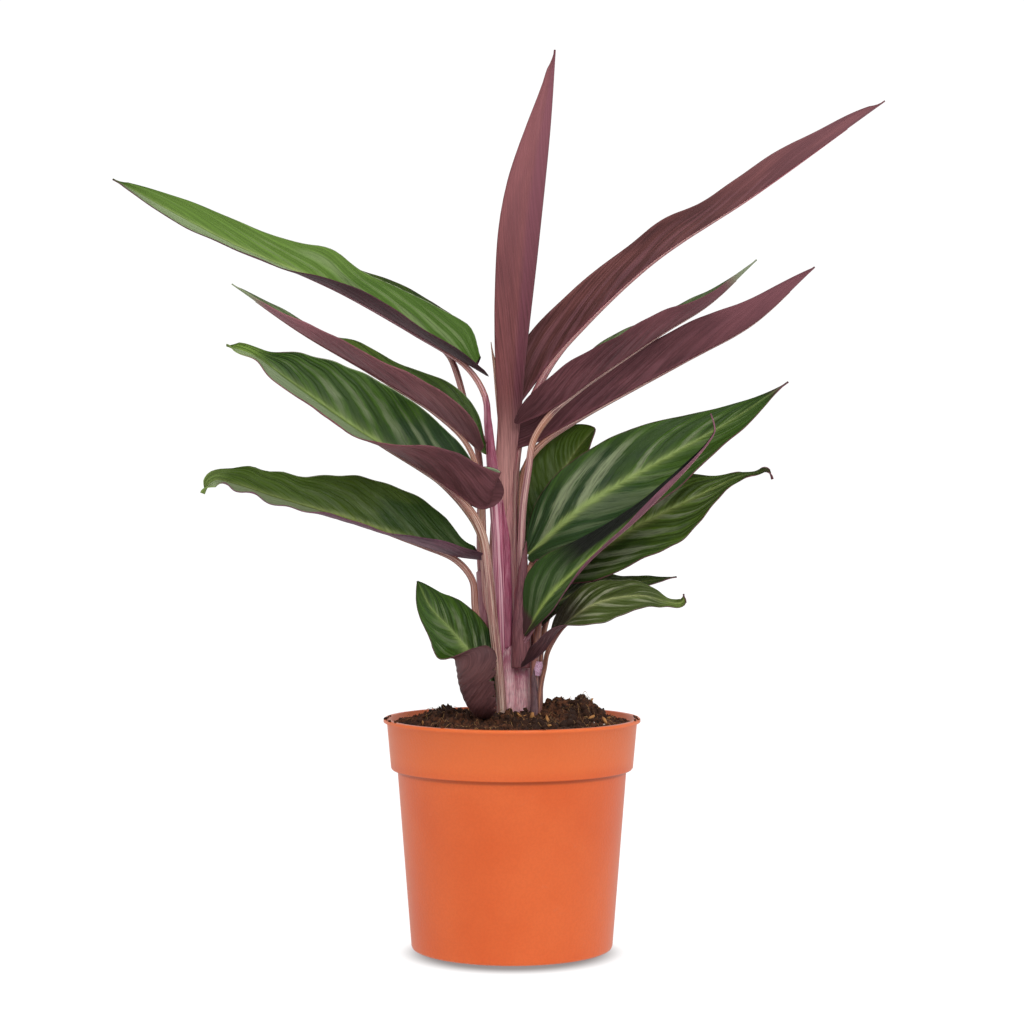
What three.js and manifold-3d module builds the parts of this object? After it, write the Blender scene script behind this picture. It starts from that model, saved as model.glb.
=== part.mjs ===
// Stripestar stromanthe in a small nursery pot: an injection-moulded terracotta-coloured pot, the potting
// mix that fills it, and one young clump of folded, striped leaves on thin stalks that leave a common base.
// X is to the right, Y is away from the front, Z is up; the pot's underside is centred on the origin.
import * as THREE from "three";
import { mergeVertices } from "three/addons/utils/BufferGeometryUtils.js";
import Module from "manifold-3d";

const wasm = await Module();
wasm.setup();

// Driving dimensions, in millimetres and degrees.
const RIM_DIAMETER = 120; // the size such a pot is sold by
const POT_HEIGHT = 107;
const BASE_RADIUS = 47;
const BAND_HEIGHT = 23.5; // the plain collar that a grower's tray holds
const WALL = 1.4;
const FLOOR = 3.2;
const FOOT = 1.6; // how far the floor stands off the table between its foot rings
const PAD = 12; // radius of the centre pad under the floor
const RING = 6; // width of the foot ring round the edge of the base
const CORNER = 1.4; // rounding at the foot of the wall
const LIP = 1.5; // height of the narrow lip round the top
const EASE = 0.5; // small bevels where the wall turns
const DRAIN_HOLES = 8;
const DRAIN_RADIUS = 4;
const DRAIN_RING = 28; // how far the drain holes lie from the axis
const SOIL_EDGE = 104.6; // height of the potting mix against the wall
const SOIL_CROWN = 4.4; // how much higher it lies round the stalks
const SOIL_FOOT = 100.6; // height of the bottom of the stalks' holes
const SOIL_RINGS = 9; // rings of facets across the top of the potting mix
const PAST = 1; // how far a cutting peg reaches past what it cuts
const PEG_TOP = 140; // top of the pegs that cut the stalks' holes, above the highest lump
const BLADE = 0.7; // thickness of a leaf
const MIDRIB = 1.7; // how far the midrib stands below a leaf at its base
const FIT = 0.4; // clearance round a stalk in its hole
const SEAT = 0.9; // how far under the midrib a stalk ends, where it has no drop of its own
const TURNS = 48; // facets round the pot
const PEG_SIDES = 12; // facets round a hole
const ROWS = 15; // facets along a leaf
const COLUMNS = 3; // facets across each half of a leaf
const LEAST_HALF = 0.9; // half width that a leaf keeps at its very ends
const STALK_SIDES = 8;

const RIM_RADIUS = RIM_DIAMETER / 2;
const BAND_TOP = RIM_RADIUS - 1.6;
const BAND_FOOT = RIM_RADIUS - 4;
const BAND_Z = POT_HEIGHT - BAND_HEIGHT;
const BODY_TOP = RIM_RADIUS - 6.5;

const group = new THREE.Group();
group.name = "potted_stromanthe";

const material = (color, roughness) => new THREE.MeshStandardMaterial({ color, roughness, metalness: 0 });
const TERRACOTTA = material("#dc6e46", 0.4);
const PEAT = material("#4a3428", 0.95);
const STALK = material("#b07a68", 0.45);
const SHEATH = material("#a87488", 0.5);
const BRIGHT_LEAF = material("#6f9c45", 0.4);
const DARK_LEAF = material("#3f6b38", 0.4);
const MAROON_LEAF = material("#7a4450", 0.45);

// Adds one closed piece to the group under its own name.
function add(name, geometry, look) {
  const mesh = new THREE.Mesh(geometry, look);
  mesh.name = name;
  group.add(mesh);
}

// Closes a geometry by merging its shared corners and dropping triangles that collapsed to a line.
function closed(geometry) {
  const bare = new THREE.BufferGeometry();
  bare.setAttribute("position", geometry.getAttribute("position"));
  bare.setIndex(geometry.index);
  const merged = mergeVertices(bare, 1e-3);
  const old = merged.index.array;
  const kept = [];
  for (let i = 0; i < old.length; i += 3) {
    const [a, b, c] = [old[i], old[i + 1], old[i + 2]];
    if (a !== b && b !== c && c !== a) kept.push(a, b, c);
  }
  merged.setIndex(kept);
  return merged;
}

// Turns a profile of [radius, height] pairs, which runs from the axis below to the axis above.
function turned(profile) {
  const points = profile.map(([r, z]) => new THREE.Vector2(r, z));
  return closed(new THREE.LatheGeometry(points, TURNS).rotateX(Math.PI / 2));
}

// A closed geometry as a solid for cutting, and back.
function solid(geometry) {
  return new wasm.Manifold(
    new wasm.Mesh({
      numProp: 3,
      vertProperties: geometry.getAttribute("position").array,
      triVerts: new Uint32Array(geometry.index.array),
    }),
  );
}

// A round peg standing at (x, y) from one height to another, for making a hole.
function upright(x, y, radius, low, high) {
  const peg = new THREE.CylinderGeometry(radius, radius, high - low, PEG_SIDES).rotateX(Math.PI / 2);
  return solid(closed(peg.translate(x, y, (low + high) / 2)));
}

// A closed geometry with the pegs' holes cut into it.
function cut(geometry, pegs) {
  const mesh = solid(geometry).subtract(wasm.Manifold.union(pegs)).getMesh();
  const result = new THREE.BufferGeometry();
  result.setAttribute("position", new THREE.BufferAttribute(mesh.vertProperties, 3));
  result.setIndex(new THREE.BufferAttribute(mesh.triVerts, 1));
  return result;
}

// The value at t (0 to 1) of a list of values that are evenly spaced along a leaf or a stalk.
function along(values, t) {
  const place = t * (values.length - 1);
  const i = Math.min(Math.floor(place), values.length - 2);
  return THREE.MathUtils.lerp(values[i], values[i + 1], place - i);
}

function curve(points) {
  return new THREE.CatmullRomCurve3(points.map((p) => new THREE.Vector3(...p)), false, "centripetal");
}

// Pot: one thin-walled moulding in terracotta-coloured plastic. The wall steps out to a collar under a
// narrow lip, and the floor stands on a centre pad and an outer ring with drain holes in the raised
// channel between them.
const innerBase = BASE_RADIUS - WALL;
const innerStep = BODY_TOP - WALL;
const innerBand = BAND_FOOT - WALL;
const innerRim = BAND_TOP - WALL;
const stepInside = BAND_Z + WALL;
const potShell = turned([
  [0, 0],
  [PAD, 0],
  [PAD + 1, FOOT],
  [BASE_RADIUS - RING - 1, FOOT],
  [BASE_RADIUS - RING, 0],
  [BASE_RADIUS - CORNER, 0],
  [BASE_RADIUS, CORNER],
  [BODY_TOP, BAND_Z - EASE],
  [BAND_FOOT, BAND_Z],
  [BAND_TOP, POT_HEIGHT - LIP - EASE],
  [RIM_RADIUS, POT_HEIGHT - LIP],
  [RIM_RADIUS, POT_HEIGHT - EASE],
  [RIM_RADIUS - EASE, POT_HEIGHT],
  [innerRim, POT_HEIGHT],
  [innerBand, stepInside],
  [innerStep, stepInside - EASE],
  [innerBase, FLOOR],
  [0, FLOOR],
]);
const drains = [];
for (let i = 0; i < DRAIN_HOLES; i++) {
  const angle = ((i + 0.5) / DRAIN_HOLES) * 2 * Math.PI;
  const x = DRAIN_RING * Math.cos(angle);
  const y = DRAIN_RING * Math.sin(angle);
  drains.push(upright(x, y, DRAIN_RADIUS, -PAST, FLOOR + PAST));
}
add("pot", cut(potShell, drains), TERRACOTTA);

// Leaves: thin blades, each grown in one piece, green above and maroon beneath, on a raised midrib. A blade
// follows its midrib line; its two halves rise from the midrib by their own angles, listed from base to
// tip, curl towards their edges and ripple a little along them.
const joints = new Map();

// The share of its full half width that a blade has at t, with a rounded base and a long drawn tip.
function halfWidth(t, broad, taper) {
  if (t < broad) return Math.sqrt(1 - (1 - t / broad) ** 3);
  return (1 - ((t - broad) / (1 - broad)) ** 1.7) ** taper;
}

// The way along a leaf's midrib at t, the level way towards the front and the way up between them.
function axes(line, side, t) {
  const way = line.getTangentAt(t);
  const level = new THREE.Vector3(0, -1, 0).addScaledVector(way, way.y).normalize();
  const up = way.clone().cross(level).multiplyScalar(side);
  return { level, up };
}

function leaf(name, look, shape) {
  const { spine, width, near, far } = shape;
  const { nearShare = 1, nearCurl = [24, 24], farCurl = [24, 24] } = shape;
  const { broad = 0.4, taper = 1.25, start = 0, wave = 1, waves = 3, phase = 0 } = shape;
  const line = curve(spine);
  const side = spine[spine.length - 1][0] < spine[0][0] ? 1 : -1;
  const across = 2 * COLUMNS + 1;
  const rows = [];
  for (let i = 0; i <= ROWS; i++) {
    const t = (i / ROWS) ** 1.15;
    const { level, up } = axes(line, side, t);
    const share = Math.max(halfWidth(t, broad, taper), start * (1 - 2 * t));
    const row = new Array(across);
    const halves = [
      { sign: 1, angles: near, curls: nearCurl, half: width * nearShare },
      { sign: -1, angles: far, curls: farCurl, half: width },
    ];
    for (const { sign, angles, curls, half } of halves) {
      const w = Math.max(half * share, LEAST_HALF);
      const curl = THREE.MathUtils.degToRad(along(curls, t));
      const first = THREE.MathUtils.degToRad(along(angles, t)) - curl / 2;
      const turn = 2 * Math.PI * (waves * t + phase + 0.2 * sign);
      for (let k = 0; k <= COLUMNS; k++) {
        const u = k / COLUMNS;
        const angle = first + curl * u;
        const ripple = wave * u * u * Math.sin(turn) * Math.sin(Math.PI * t);
        const out = (w * (Math.sin(angle) - Math.sin(first))) / curl - ripple * Math.sin(angle);
        const lift = (w * (Math.cos(first) - Math.cos(angle))) / curl + ripple * Math.cos(angle);
        const corner = line.getPointAt(t).addScaledVector(level, sign * out).addScaledVector(up, lift);
        row[COLUMNS + sign * k] = corner;
      }
    }
    rows.push(row);
  }

  // The underside keeps its distance from the top along each corner's own normal.
  const top = [];
  const under = [];
  rows.forEach((row, i) => {
    const before = rows[Math.max(i - 1, 0)];
    const after = rows[Math.min(i + 1, ROWS)];
    const rib = THREE.MathUtils.lerp(MIDRIB, BLADE, i / ROWS);
    row.forEach((corner, j) => {
      const crossWay = row[Math.min(j + 1, across - 1)].clone().sub(row[Math.max(j - 1, 0)]);
      const longWay = after[j].clone().sub(before[j]);
      const normal = longWay.cross(crossWay).multiplyScalar(side).normalize();
      const beneath = corner.clone().addScaledVector(normal, j === COLUMNS ? -rib : -BLADE);
      top.push(...corner.toArray());
      under.push(...beneath.toArray());
    });
  });

  // Both faces are split into triangles alike, along diagonals that fan out from the midrib.
  const below = top.length / 3;
  const index = [];
  function quad(a, b, c, d) {
    if (side > 0) index.push(a, c, b, a, d, c);
    else index.push(a, b, c, a, c, d);
  }
  for (let i = 0; i < ROWS; i++) {
    for (let j = 0; j < across - 1; j++) {
      const a = i * across + j;
      const [b, c, d] = [a + 1, a + across + 1, a + across];
      if (j < COLUMNS) quad(a, b, c, d);
      else quad(b, c, d, a);
      if (j < COLUMNS) quad(below + a, below + d, below + c, below + b);
      else quad(below + b, below + a, below + d, below + c);
    }
    const left = i * across;
    const right = left + across - 1;
    quad(left, left + across, below + left + across, below + left);
    quad(right, below + right, below + right + across, right + across);
  }
  for (let j = 0; j < across - 1; j++) {
    const end = ROWS * across + j;
    quad(j, below + j, below + j + 1, j + 1);
    quad(end, end + 1, below + end + 1, below + end);
  }
  const geometry = new THREE.BufferGeometry();
  geometry.setAttribute("position", new THREE.BufferAttribute(new Float32Array([...top, ...under]), 3));
  geometry.setIndex(index);
  add(name, geometry, look);

  // Where a stalk ends, the given distance under the midrib at t.
  joints.set(name, (t, drop) => {
    const { level, up } = axes(line, side, t);
    const nearTilt = THREE.MathUtils.degToRad(along(near, t));
    const farTilt = THREE.MathUtils.degToRad(along(far, t));
    const normal = level.multiplyScalar(Math.sin(farTilt) - Math.sin(nearTilt));
    normal.addScaledVector(up, Math.cos(farTilt) + Math.cos(nearTilt)).normalize();
    return line.getPointAt(t).addScaledVector(normal, -(MIDRIB + drop));
  });
}

// The upright spear, still half rolled round itself.
leaf("leaf_spear", MAROON_LEAF, {
  spine: [[3.5, 0, 237.6], [6, -2, 274], [12, -4, 327.5], [17.5, -3, 382], [20, -1, 419]],
  width: 22, broad: 0.42, taper: 1, start: 0.4, near: [60, 60, 72, 80, 80], far: [50, 50, 56, 62, 66],
  nearCurl: [50, 50], farCurl: [40, 40], wave: 0.5,
});

// Right side, from the top: three long leaves seen from beneath.
leaf("leaf_right_1", MAROON_LEAF, {
  spine: [[4.5, 6, 255.5], [24, 14, 281], [66, 26, 320.5], [118, 36, 355.5], [181.5, 46, 403]],
  width: 20, broad: 0.42, taper: 1, near: [70, 46, 40, 48, 66], far: [34, 28, 24, 24, 30],
});
leaf("leaf_right_2", MAROON_LEAF, {
  spine: [
    [3.5, -9, 244.5], [17.5, -11, 250.5], [36, -15, 263.5],
    [68, -20, 285], [90.5, -22, 299], [112, -22, 319],
  ],
  width: 18, start: 0.25, near: [60, 40, 32, 30], far: [50, 42, 38, 48], wave: 1.2, phase: 0.2,
});
leaf("leaf_right_3", MAROON_LEAF, {
  spine: [
    [4.5, 4, 236], [12.5, 5, 236.5], [38, 7, 251],
    [83.5, 10, 275.5], [113.5, 10, 292], [142.5, 8, 318.5],
  ],
  width: 19, broad: 0.5, near: [46, 46, 60, 74], far: [44, 52, 40, 40],
});

// Right side, below them: leaves that hang with their upper faces to the front, and two small ones.
leaf("leaf_right_4", BRIGHT_LEAF, {
  spine: [[8, -8, 184], [33, -14, 206], [66.5, -20, 226], [100, -20, 245], [127.5, -14, 263.5]],
  width: 22, nearShare: 0.77, broad: 0.38, near: [-30, -50, -44, -40, -60], far: [48, 70, 72, 62, 46],
  wave: 0.8,
});
leaf("leaf_right_5", DARK_LEAF, {
  spine: [[9.5, 2.5, 186], [15.5, 9, 203], [23.5, 11, 219.5], [32, 11, 231.5], [40, 8, 238.5]],
  width: 14, near: [-30, -30, -20], far: [30, 62, 72],
});
leaf("leaf_right_6", BRIGHT_LEAF, {
  spine: [[18, -4, 170.5], [36, -8, 183], [59.5, -10, 197.5], [88, -8, 211], [120, -2, 220.5]],
  width: 20, broad: 0.45, near: [-34, -40, -54, -54, -40], far: [54, 70, 70, 56],
});
leaf("leaf_right_7", DARK_LEAF, {
  spine: [[6, -14, 147], [17, -26, 164.5], [34, -40, 182], [61, -49, 206], [90.5, -52, 239.5]],
  width: 16, near: [16, 14, 12, 14], far: [46, 40, 34, 30, 20], nearCurl: [70, 70], wave: 0.6,
});
leaf("leaf_right_8", BRIGHT_LEAF, {
  spine: [
    [6, -17, 133], [14.5, -21, 139.5], [23, -25, 151],
    [38.5, -31, 162], [60, -31, 165], [77.5, -25, 162],
  ],
  width: 13, broad: 0.5, near: [70, 30, -40, -50, -50], far: [75, 50, 52, 48, 46],
});
leaf("leaf_right_9", DARK_LEAF, {
  spine: [[13, -5, 151], [20.5, -6, 160.5], [36.5, -5, 168], [56, -3, 170], [77, 0, 173]],
  width: 8, near: [-20, -30, -20], far: [44, 48, 40],
});

// Left side, from the top: a long bright leaf, one hidden behind it, and four below.
leaf("leaf_left_1", BRIGHT_LEAF, {
  spine: [[-12.5, -3, 267.5], [-40, 4, 283], [-81.5, 9, 305], [-131, 10, 327], [-188, 8, 360]],
  width: 20, broad: 0.45, start: 0.15, near: [12, 14, 8, 4], far: [62, 58, 54, 60],
});
leaf("leaf_left_2", DARK_LEAF, {
  spine: [[-24, 14, 273.5], [-34.5, 22, 282.5], [-61, 34, 301], [-88, 40, 316], [-112.5, 42, 327]],
  width: 14, near: [40, 50, 50], far: [40, 36, 30],
});
leaf("leaf_left_3", DARK_LEAF, {
  spine: [[-15.5, -7, 232], [-33.5, -11, 248], [-63, -16, 266.5], [-97.5, -18, 286.5], [-129, -16, 308.5]],
  width: 18, near: [42, 28, 22, 8], far: [52, 44, 28, 24],
});
leaf("leaf_left_4", DARK_LEAF, {
  spine: [
    [-6, -17, 209.5], [-14.5, -19, 205], [-37, -26, 220.5],
    [-66, -36, 238.5], [-99.5, -42, 262.5], [-128.5, -40, 278.5],
  ],
  width: 25, broad: 0.48, start: 0.45, near: [50, 28, -2, -8, -12], far: [46, 66, 82, 84, 84], wave: 1.2,
});
leaf("leaf_left_5", DARK_LEAF, {
  spine: [
    [-15.5, -11, 181.5], [-25.5, -15, 183], [-41, -20, 188],
    [-70.5, -26, 199], [-110.5, -28, 210], [-141.5, -24, 212.5],
  ],
  width: 21.5, broad: 0.44, taper: 0.8, start: 0.15, near: [20, 10, -8, -8], far: [52, 70, 80, 80],
  wave: 1.2, phase: 0.5,
});
leaf("leaf_left_6", DARK_LEAF, {
  spine: [[-12, -20, 110.5], [-21.5, -26, 121.5], [-26, -30, 136], [-32.5, -31, 153.5], [-43, -30, 172]],
  width: 16, near: [60, 72, 66, -40, -78, -84], far: [66, 82, 80, 80], wave: 0.6,
});

// Stalks: round, smooth leaf stalks and the rolled sheaths at the foot of the clump. Each is a tapered rod
// that ends just under its leaf and stands in its own hole in the potting mix, or on the sheath below it.
const stalkFeet = [];

function stalk(name, shape) {
  const { radii, top = null, drop = SEAT, planted = true, rings = 9, look = STALK } = shape;
  const path = [...shape.path];
  if (top) path.unshift(joints.get(top[0])(top[1], drop).toArray());
  if (planted) {
    const [x, y] = path[path.length - 1];
    path.push([x, y, SOIL_FOOT + FIT]);
    stalkFeet.push([x, y, radii[radii.length - 1] + FIT]);
  }
  // A plain cylinder, one unit tall and one in radius, is bent along the line and tapered.
  const line = curve(path);
  const rod = closed(new THREE.CylinderGeometry(1, 1, 1, STALK_SIDES, rings));
  const corners = rod.getAttribute("position");
  for (let i = 0; i < corners.count; i++) {
    const t = THREE.MathUtils.clamp(0.5 - corners.getY(i), 0, 1);
    const way = line.getTangentAt(t);
    const right = new THREE.Vector3(0, -1, 0).cross(way).normalize();
    const front = way.clone().cross(right);
    const corner = line.getPointAt(t);
    corner.addScaledVector(right, along(radii, t) * corners.getX(i));
    corner.addScaledVector(front, along(radii, t) * corners.getZ(i));
    corners.setXYZ(i, corner.x, corner.y, corner.z);
  }
  add(name, rod, look);
}

stalk("sheath_spear", {
  path: [[-1.2, 0, 237.4], [-3, 2, 208.5], [-3.2, 3, 162], [-2.9, 3.4, 112]],
  radii: [4.4, 4.3, 4.1, 4, 4], look: SHEATH,
});
stalk("sheath_right", {
  path: [[4.3, -4.2, 131], [4.3, -4.2, 112]], radii: [3.9, 4.2], rings: 4, look: SHEATH,
});
stalk("stalk_right_1", {
  top: ["leaf_right_1", 0],
  path: [[3.5, 8, 237], [1, 10.2, 195], [2.2, 9.6, 152.5], [3.3, 8.6, 112]], radii: [1.7, 2, 2],
});
stalk("stalk_right_2", {
  top: ["leaf_right_2", 0.09], drop: 1.2,
  path: [[10, -8, 236.5], [7.5, -8, 222.5], [5, -5, 204], [4, -2.5, 176], [3.2, -2, 131.4]],
  radii: [1.5, 1.7, 1.7], planted: false,
});
stalk("stalk_right_3", {
  top: ["leaf_right_3", 0.04],
  path: [[6, 4, 223], [5, 7, 190], [7.5, 6, 147.5], [8, 5.2, 112]], radii: [1.5, 1.8],
});
stalk("stalk_right_4", {
  top: ["leaf_right_4", 0],
  path: [[6.5, -7.5, 171.5], [6.2, -6.4, 153], [6.3, -5.3, 131.4]], radii: [1.5, 1.5], planted: false,
});
stalk("stalk_right_5", {
  top: ["leaf_right_5", 0],
  path: [[9, 1.5, 162], [10.2, 0.4, 138.5], [10.2, 0.6, 112]], radii: [1.3, 1.5],
});
stalk("stalk_right_6", {
  top: ["leaf_right_6", 0], drop: 1.5,
  path: [[13.5, -7, 157.5], [12, -9, 147], [10.5, -9.4, 130], [10.5, -9.4, 112]], radii: [1.2, 1.6, 2],
});
stalk("stalk_right_7", {
  top: ["leaf_right_7", 0], drop: 1.5,
  path: [[4, -9.4, 139], [2.6, -6.8, 131.9]], radii: [1.2, 1.3], planted: false, rings: 5,
});
stalk("stalk_right_8", {
  top: ["leaf_right_8", 0.12], drop: 1.1,
  path: [[15, -14.4, 131], [14.5, -13, 123], [14, -12.6, 112]], radii: [1.3, 1.5],
});
stalk("stalk_right_9", {
  top: ["leaf_right_9", 0],
  path: [[13.6, -4, 139], [13.2, -4.4, 112]], radii: [1.2, 1.3],
});
stalk("stalk_left_1", {
  top: ["leaf_left_1", 0.05], drop: 1.2,
  path: [
    [-13, -3, 253.5], [-11, -4, 241.5], [-9, -5, 222.5],
    [-6.5, -5, 190], [-5, -5, 153], [-4, -4.4, 112],
  ],
  radii: [1.3, 1.9, 2.9, 3, 3],
});
stalk("stalk_left_2", {
  top: ["leaf_left_2", 0],
  path: [[-20.5, 11, 248], [-15.5, 8, 228.5], [-14.5, 7, 174.5], [-8, 9.4, 140], [-2.4, 10.2, 120]],
  radii: [1.4, 1.6, 1.9],
});
stalk("stalk_left_3", {
  top: ["leaf_left_3", 0.03], drop: 1.2,
  path: [[-15, -6, 218], [-13.5, -2, 190], [-11.5, 4, 152.5], [-6.5, 8.6, 112]], radii: [1.1, 1.7, 1.7],
});
stalk("stalk_left_4", {
  top: ["leaf_left_4", 0.06], drop: -0.6,
  path: [[-14, -18, 193], [-11, -16, 175.5], [-9, -14, 154.5], [-6.5, -12, 133], [-4.7, -10.6, 112]],
  radii: [2.2, 2.3],
});
stalk("stalk_left_5", {
  top: ["leaf_left_5", 0.06], drop: 1.2,
  path: [[-18.5, -12, 172], [-17, -9, 158], [-12.5, -4, 137], [-8.2, 0.2, 112]], radii: [1.4, 1.7, 1.7],
});
stalk("stalk_left_6", { path: [[-12, -19.4, 108.8]], radii: [1.2, 1.5], rings: 3 });

// Potting mix: peat and coir, one body that fills the pot to just under the rim, lies higher round the
// stalks, and has a plain hole for each stalk.
const LUMPS = [
  { x: 34, y: -4, tall: 10, wide: 6 },
  { x: 21, y: -6, tall: 6, wide: 5 },
  { x: -33, y: 8, tall: 4, wide: 7 },
  { x: -20, y: -24, tall: 2.5, wide: 6 },
];

// The height of the potting mix at (x, y): a low mound with a gentle ripple that dies out at the wall, and
// the lumps on it.
function soilHeight(x, y) {
  const r = Math.hypot(x, y) / innerRim;
  const broadRipple = 0.7 * Math.sin(0.33 * x + 0.5) * Math.sin(0.29 * y + 1);
  const ripple = broadRipple + 0.4 * Math.sin(0.71 * x - 0.4 * y);
  let height = SOIL_EDGE + SOIL_CROWN * (1 - r * r) + ripple * (1 - r ** 4);
  for (const lump of LUMPS) {
    const reach = ((x - lump.x) ** 2 + (y - lump.y) ** 2) / (2 * lump.wide ** 2);
    height += lump.tall * Math.exp(-reach);
  }
  return height;
}

const upWall = (SOIL_EDGE - stepInside) / (POT_HEIGHT - stepInside);
const soilRadius = THREE.MathUtils.lerp(innerBand, innerRim, upWall) - FIT;
const soilProfile = [
  [0, FLOOR + FIT],
  [innerBase - FIT, FLOOR + FIT],
  [innerStep - FIT, stepInside - EASE],
  [innerBand - FIT, stepInside + FIT],
];
for (let i = 0; i <= SOIL_RINGS; i++) {
  soilProfile.push([soilRadius * (1 - i / SOIL_RINGS), SOIL_EDGE]);
}
const soilBody = turned(soilProfile);
const soilCorners = soilBody.getAttribute("position");
for (let i = 0; i < soilCorners.count; i++) {
  const height = soilHeight(soilCorners.getX(i), soilCorners.getY(i));
  if (soilCorners.getZ(i) > SOIL_EDGE - FIT) soilCorners.setZ(i, height);
}
const holes = stalkFeet.map(([x, y, radius]) => upright(x, y, radius, SOIL_FOOT, PEG_TOP));
add("potting_mix", cut(soilBody, holes), PEAT);

export default group;
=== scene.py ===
# A young stripestar stromanthe in its terracotta-coloured nursery pot: the looks of the pot, the potting
# mix, the sixteen folded leaves, their stalks and the rolled sheaths they grow from. Built in metres round
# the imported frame, with X to the right, Y away from the camera and Z up.
import math
import random
import bmesh
import bpy
from mathutils import Matrix, Vector, noise


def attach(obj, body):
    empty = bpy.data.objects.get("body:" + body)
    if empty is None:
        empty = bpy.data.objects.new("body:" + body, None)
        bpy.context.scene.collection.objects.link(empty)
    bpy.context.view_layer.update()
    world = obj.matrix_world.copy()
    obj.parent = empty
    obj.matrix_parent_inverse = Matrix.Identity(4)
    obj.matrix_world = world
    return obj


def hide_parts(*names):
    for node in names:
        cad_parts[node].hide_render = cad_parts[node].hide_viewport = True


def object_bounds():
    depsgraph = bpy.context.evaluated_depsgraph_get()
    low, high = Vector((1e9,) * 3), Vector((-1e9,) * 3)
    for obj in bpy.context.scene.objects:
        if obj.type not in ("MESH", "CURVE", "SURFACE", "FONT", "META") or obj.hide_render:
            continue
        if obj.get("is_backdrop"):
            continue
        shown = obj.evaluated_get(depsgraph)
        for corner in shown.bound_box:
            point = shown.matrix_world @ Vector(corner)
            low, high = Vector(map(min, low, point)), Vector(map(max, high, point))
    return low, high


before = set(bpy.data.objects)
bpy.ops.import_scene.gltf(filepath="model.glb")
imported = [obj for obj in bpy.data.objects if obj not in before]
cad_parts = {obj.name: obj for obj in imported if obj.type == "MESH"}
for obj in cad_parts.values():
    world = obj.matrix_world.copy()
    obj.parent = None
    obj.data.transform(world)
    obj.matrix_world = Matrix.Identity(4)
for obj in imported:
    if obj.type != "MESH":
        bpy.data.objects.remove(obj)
cad_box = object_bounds()


# Studio. The object stands on a plain pale floor in a white surround. Three soft lamps light it: the
# strongest in front, a weaker one on the left and the weakest on the right. The camera is level, a little
# above the middle of the plant.
PICTURE = 1024
FOCAL_PIXELS = 2352.6
HORIZON_ROW = 492.5
SENSOR = 36.0
CAMERA_PLACE = (0, -1.1, 0.21225)
LAMPS_AIM = Vector((0, 0, 0.2))
SURROUND_LIGHT = 0.36
SURROUND_MIRRORED = 0.8
SURROUND_SEEN = 1.05
FLOOR_SIZE = 12
FLOOR_GREY = 0.12
FLOOR_LIGHT = 0.68
FLOOR_AT_POT = 0.2
FLOOR_SEEN = 1.0
SHADOW_CENTRE = (0, -0.013, 0)
SHADOW_REACH = (0.037, 0.055)


def add_node(tree, kind, **settings):
    node = tree.nodes.new(kind)
    for key, value in settings.items():
        setattr(node, key, value)
    return node


def plug(tree, socket, value):
    """Links an output to a socket, or sets a plain value on it."""
    if isinstance(value, bpy.types.NodeSocket):
        tree.links.new(value, socket)
    else:
        socket.default_value = value


def own_place(tree):
    return add_node(tree, "ShaderNodeTexCoord").outputs["Object"]


def between(tree, value, low, high, to_low=0.0, to_high=1.0):
    """A value eased from one range to another."""
    node = add_node(tree, "ShaderNodeMapRange", interpolation_type="SMOOTHSTEP")
    for socket, setting in zip(node.inputs, (value, low, high, to_low, to_high)):
        plug(tree, socket, setting)
    return node.outputs["Result"]


def new_finish(name):
    """A material with only its surface shader and output, and that shader."""
    finish = bpy.data.materials.new(name)
    finish.use_nodes = True
    return finish, finish.node_tree, finish.node_tree.nodes["Principled BSDF"]


def set_down(name, bm, finishes=()):
    """The object of a bmesh, with its materials."""
    mesh = bpy.data.meshes.new(name)
    bm.to_mesh(mesh)
    bm.free()
    for finish in finishes:
        mesh.materials.append(finish)
    thing = bpy.data.objects.new(name, mesh)
    scene.collection.objects.link(thing)
    return thing


def hang_lamp(name, place, size, power):
    lamp = bpy.data.objects.new(name, bpy.data.lights.new(name, "AREA"))
    lamp.data.shape = "RECTANGLE"
    lamp.data.size, lamp.data.size_y = size
    lamp.data.energy = power
    lamp.location = place
    lamp.rotation_euler = (LAMPS_AIM - Vector(place)).to_track_quat("-Z", "Y").to_euler()
    scene.collection.objects.link(lamp)


camera = bpy.data.objects.new("camera", bpy.data.cameras.new("camera"))
camera.data.sensor_width = SENSOR
camera.data.lens = FOCAL_PIXELS / PICTURE * SENSOR
camera.data.shift_y = (HORIZON_ROW - PICTURE / 2) / PICTURE
camera.data.clip_start = 0.05
camera.location = CAMERA_PLACE
camera.rotation_euler = (math.radians(90), 0, 0)
scene = bpy.context.scene
scene.collection.objects.link(camera)
scene.camera = camera
scene.view_settings.view_transform = "Standard"
hang_lamp("soft lamp front", (0.35, -1.4, 0.95), (0.9, 0.6), 8.8)
hang_lamp("soft lamp left", (-0.8, -0.8, 1.1), (0.7, 0.7), 4)
hang_lamp("soft lamp right", (1.0, -0.5, 0.8), (0.5, 0.7), 2.5)

# The surround lights the object less than it shows, as a lit backdrop does that stands well behind.
surround = bpy.data.worlds.new("white surround")
surround.use_nodes = True
walls = surround.node_tree
glow = walls.nodes["Background"].inputs
glow["Color"].default_value = (1, 1, 1, 1)
ray = add_node(walls, "ShaderNodeLightPath").outputs
mirrored = between(walls, ray["Is Glossy Ray"], 0, 1, SURROUND_LIGHT, SURROUND_MIRRORED)
plug(walls, glow["Strength"], between(walls, ray["Is Camera Ray"], 0, 1, mirrored, SURROUND_SEEN))
scene.world = surround

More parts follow.
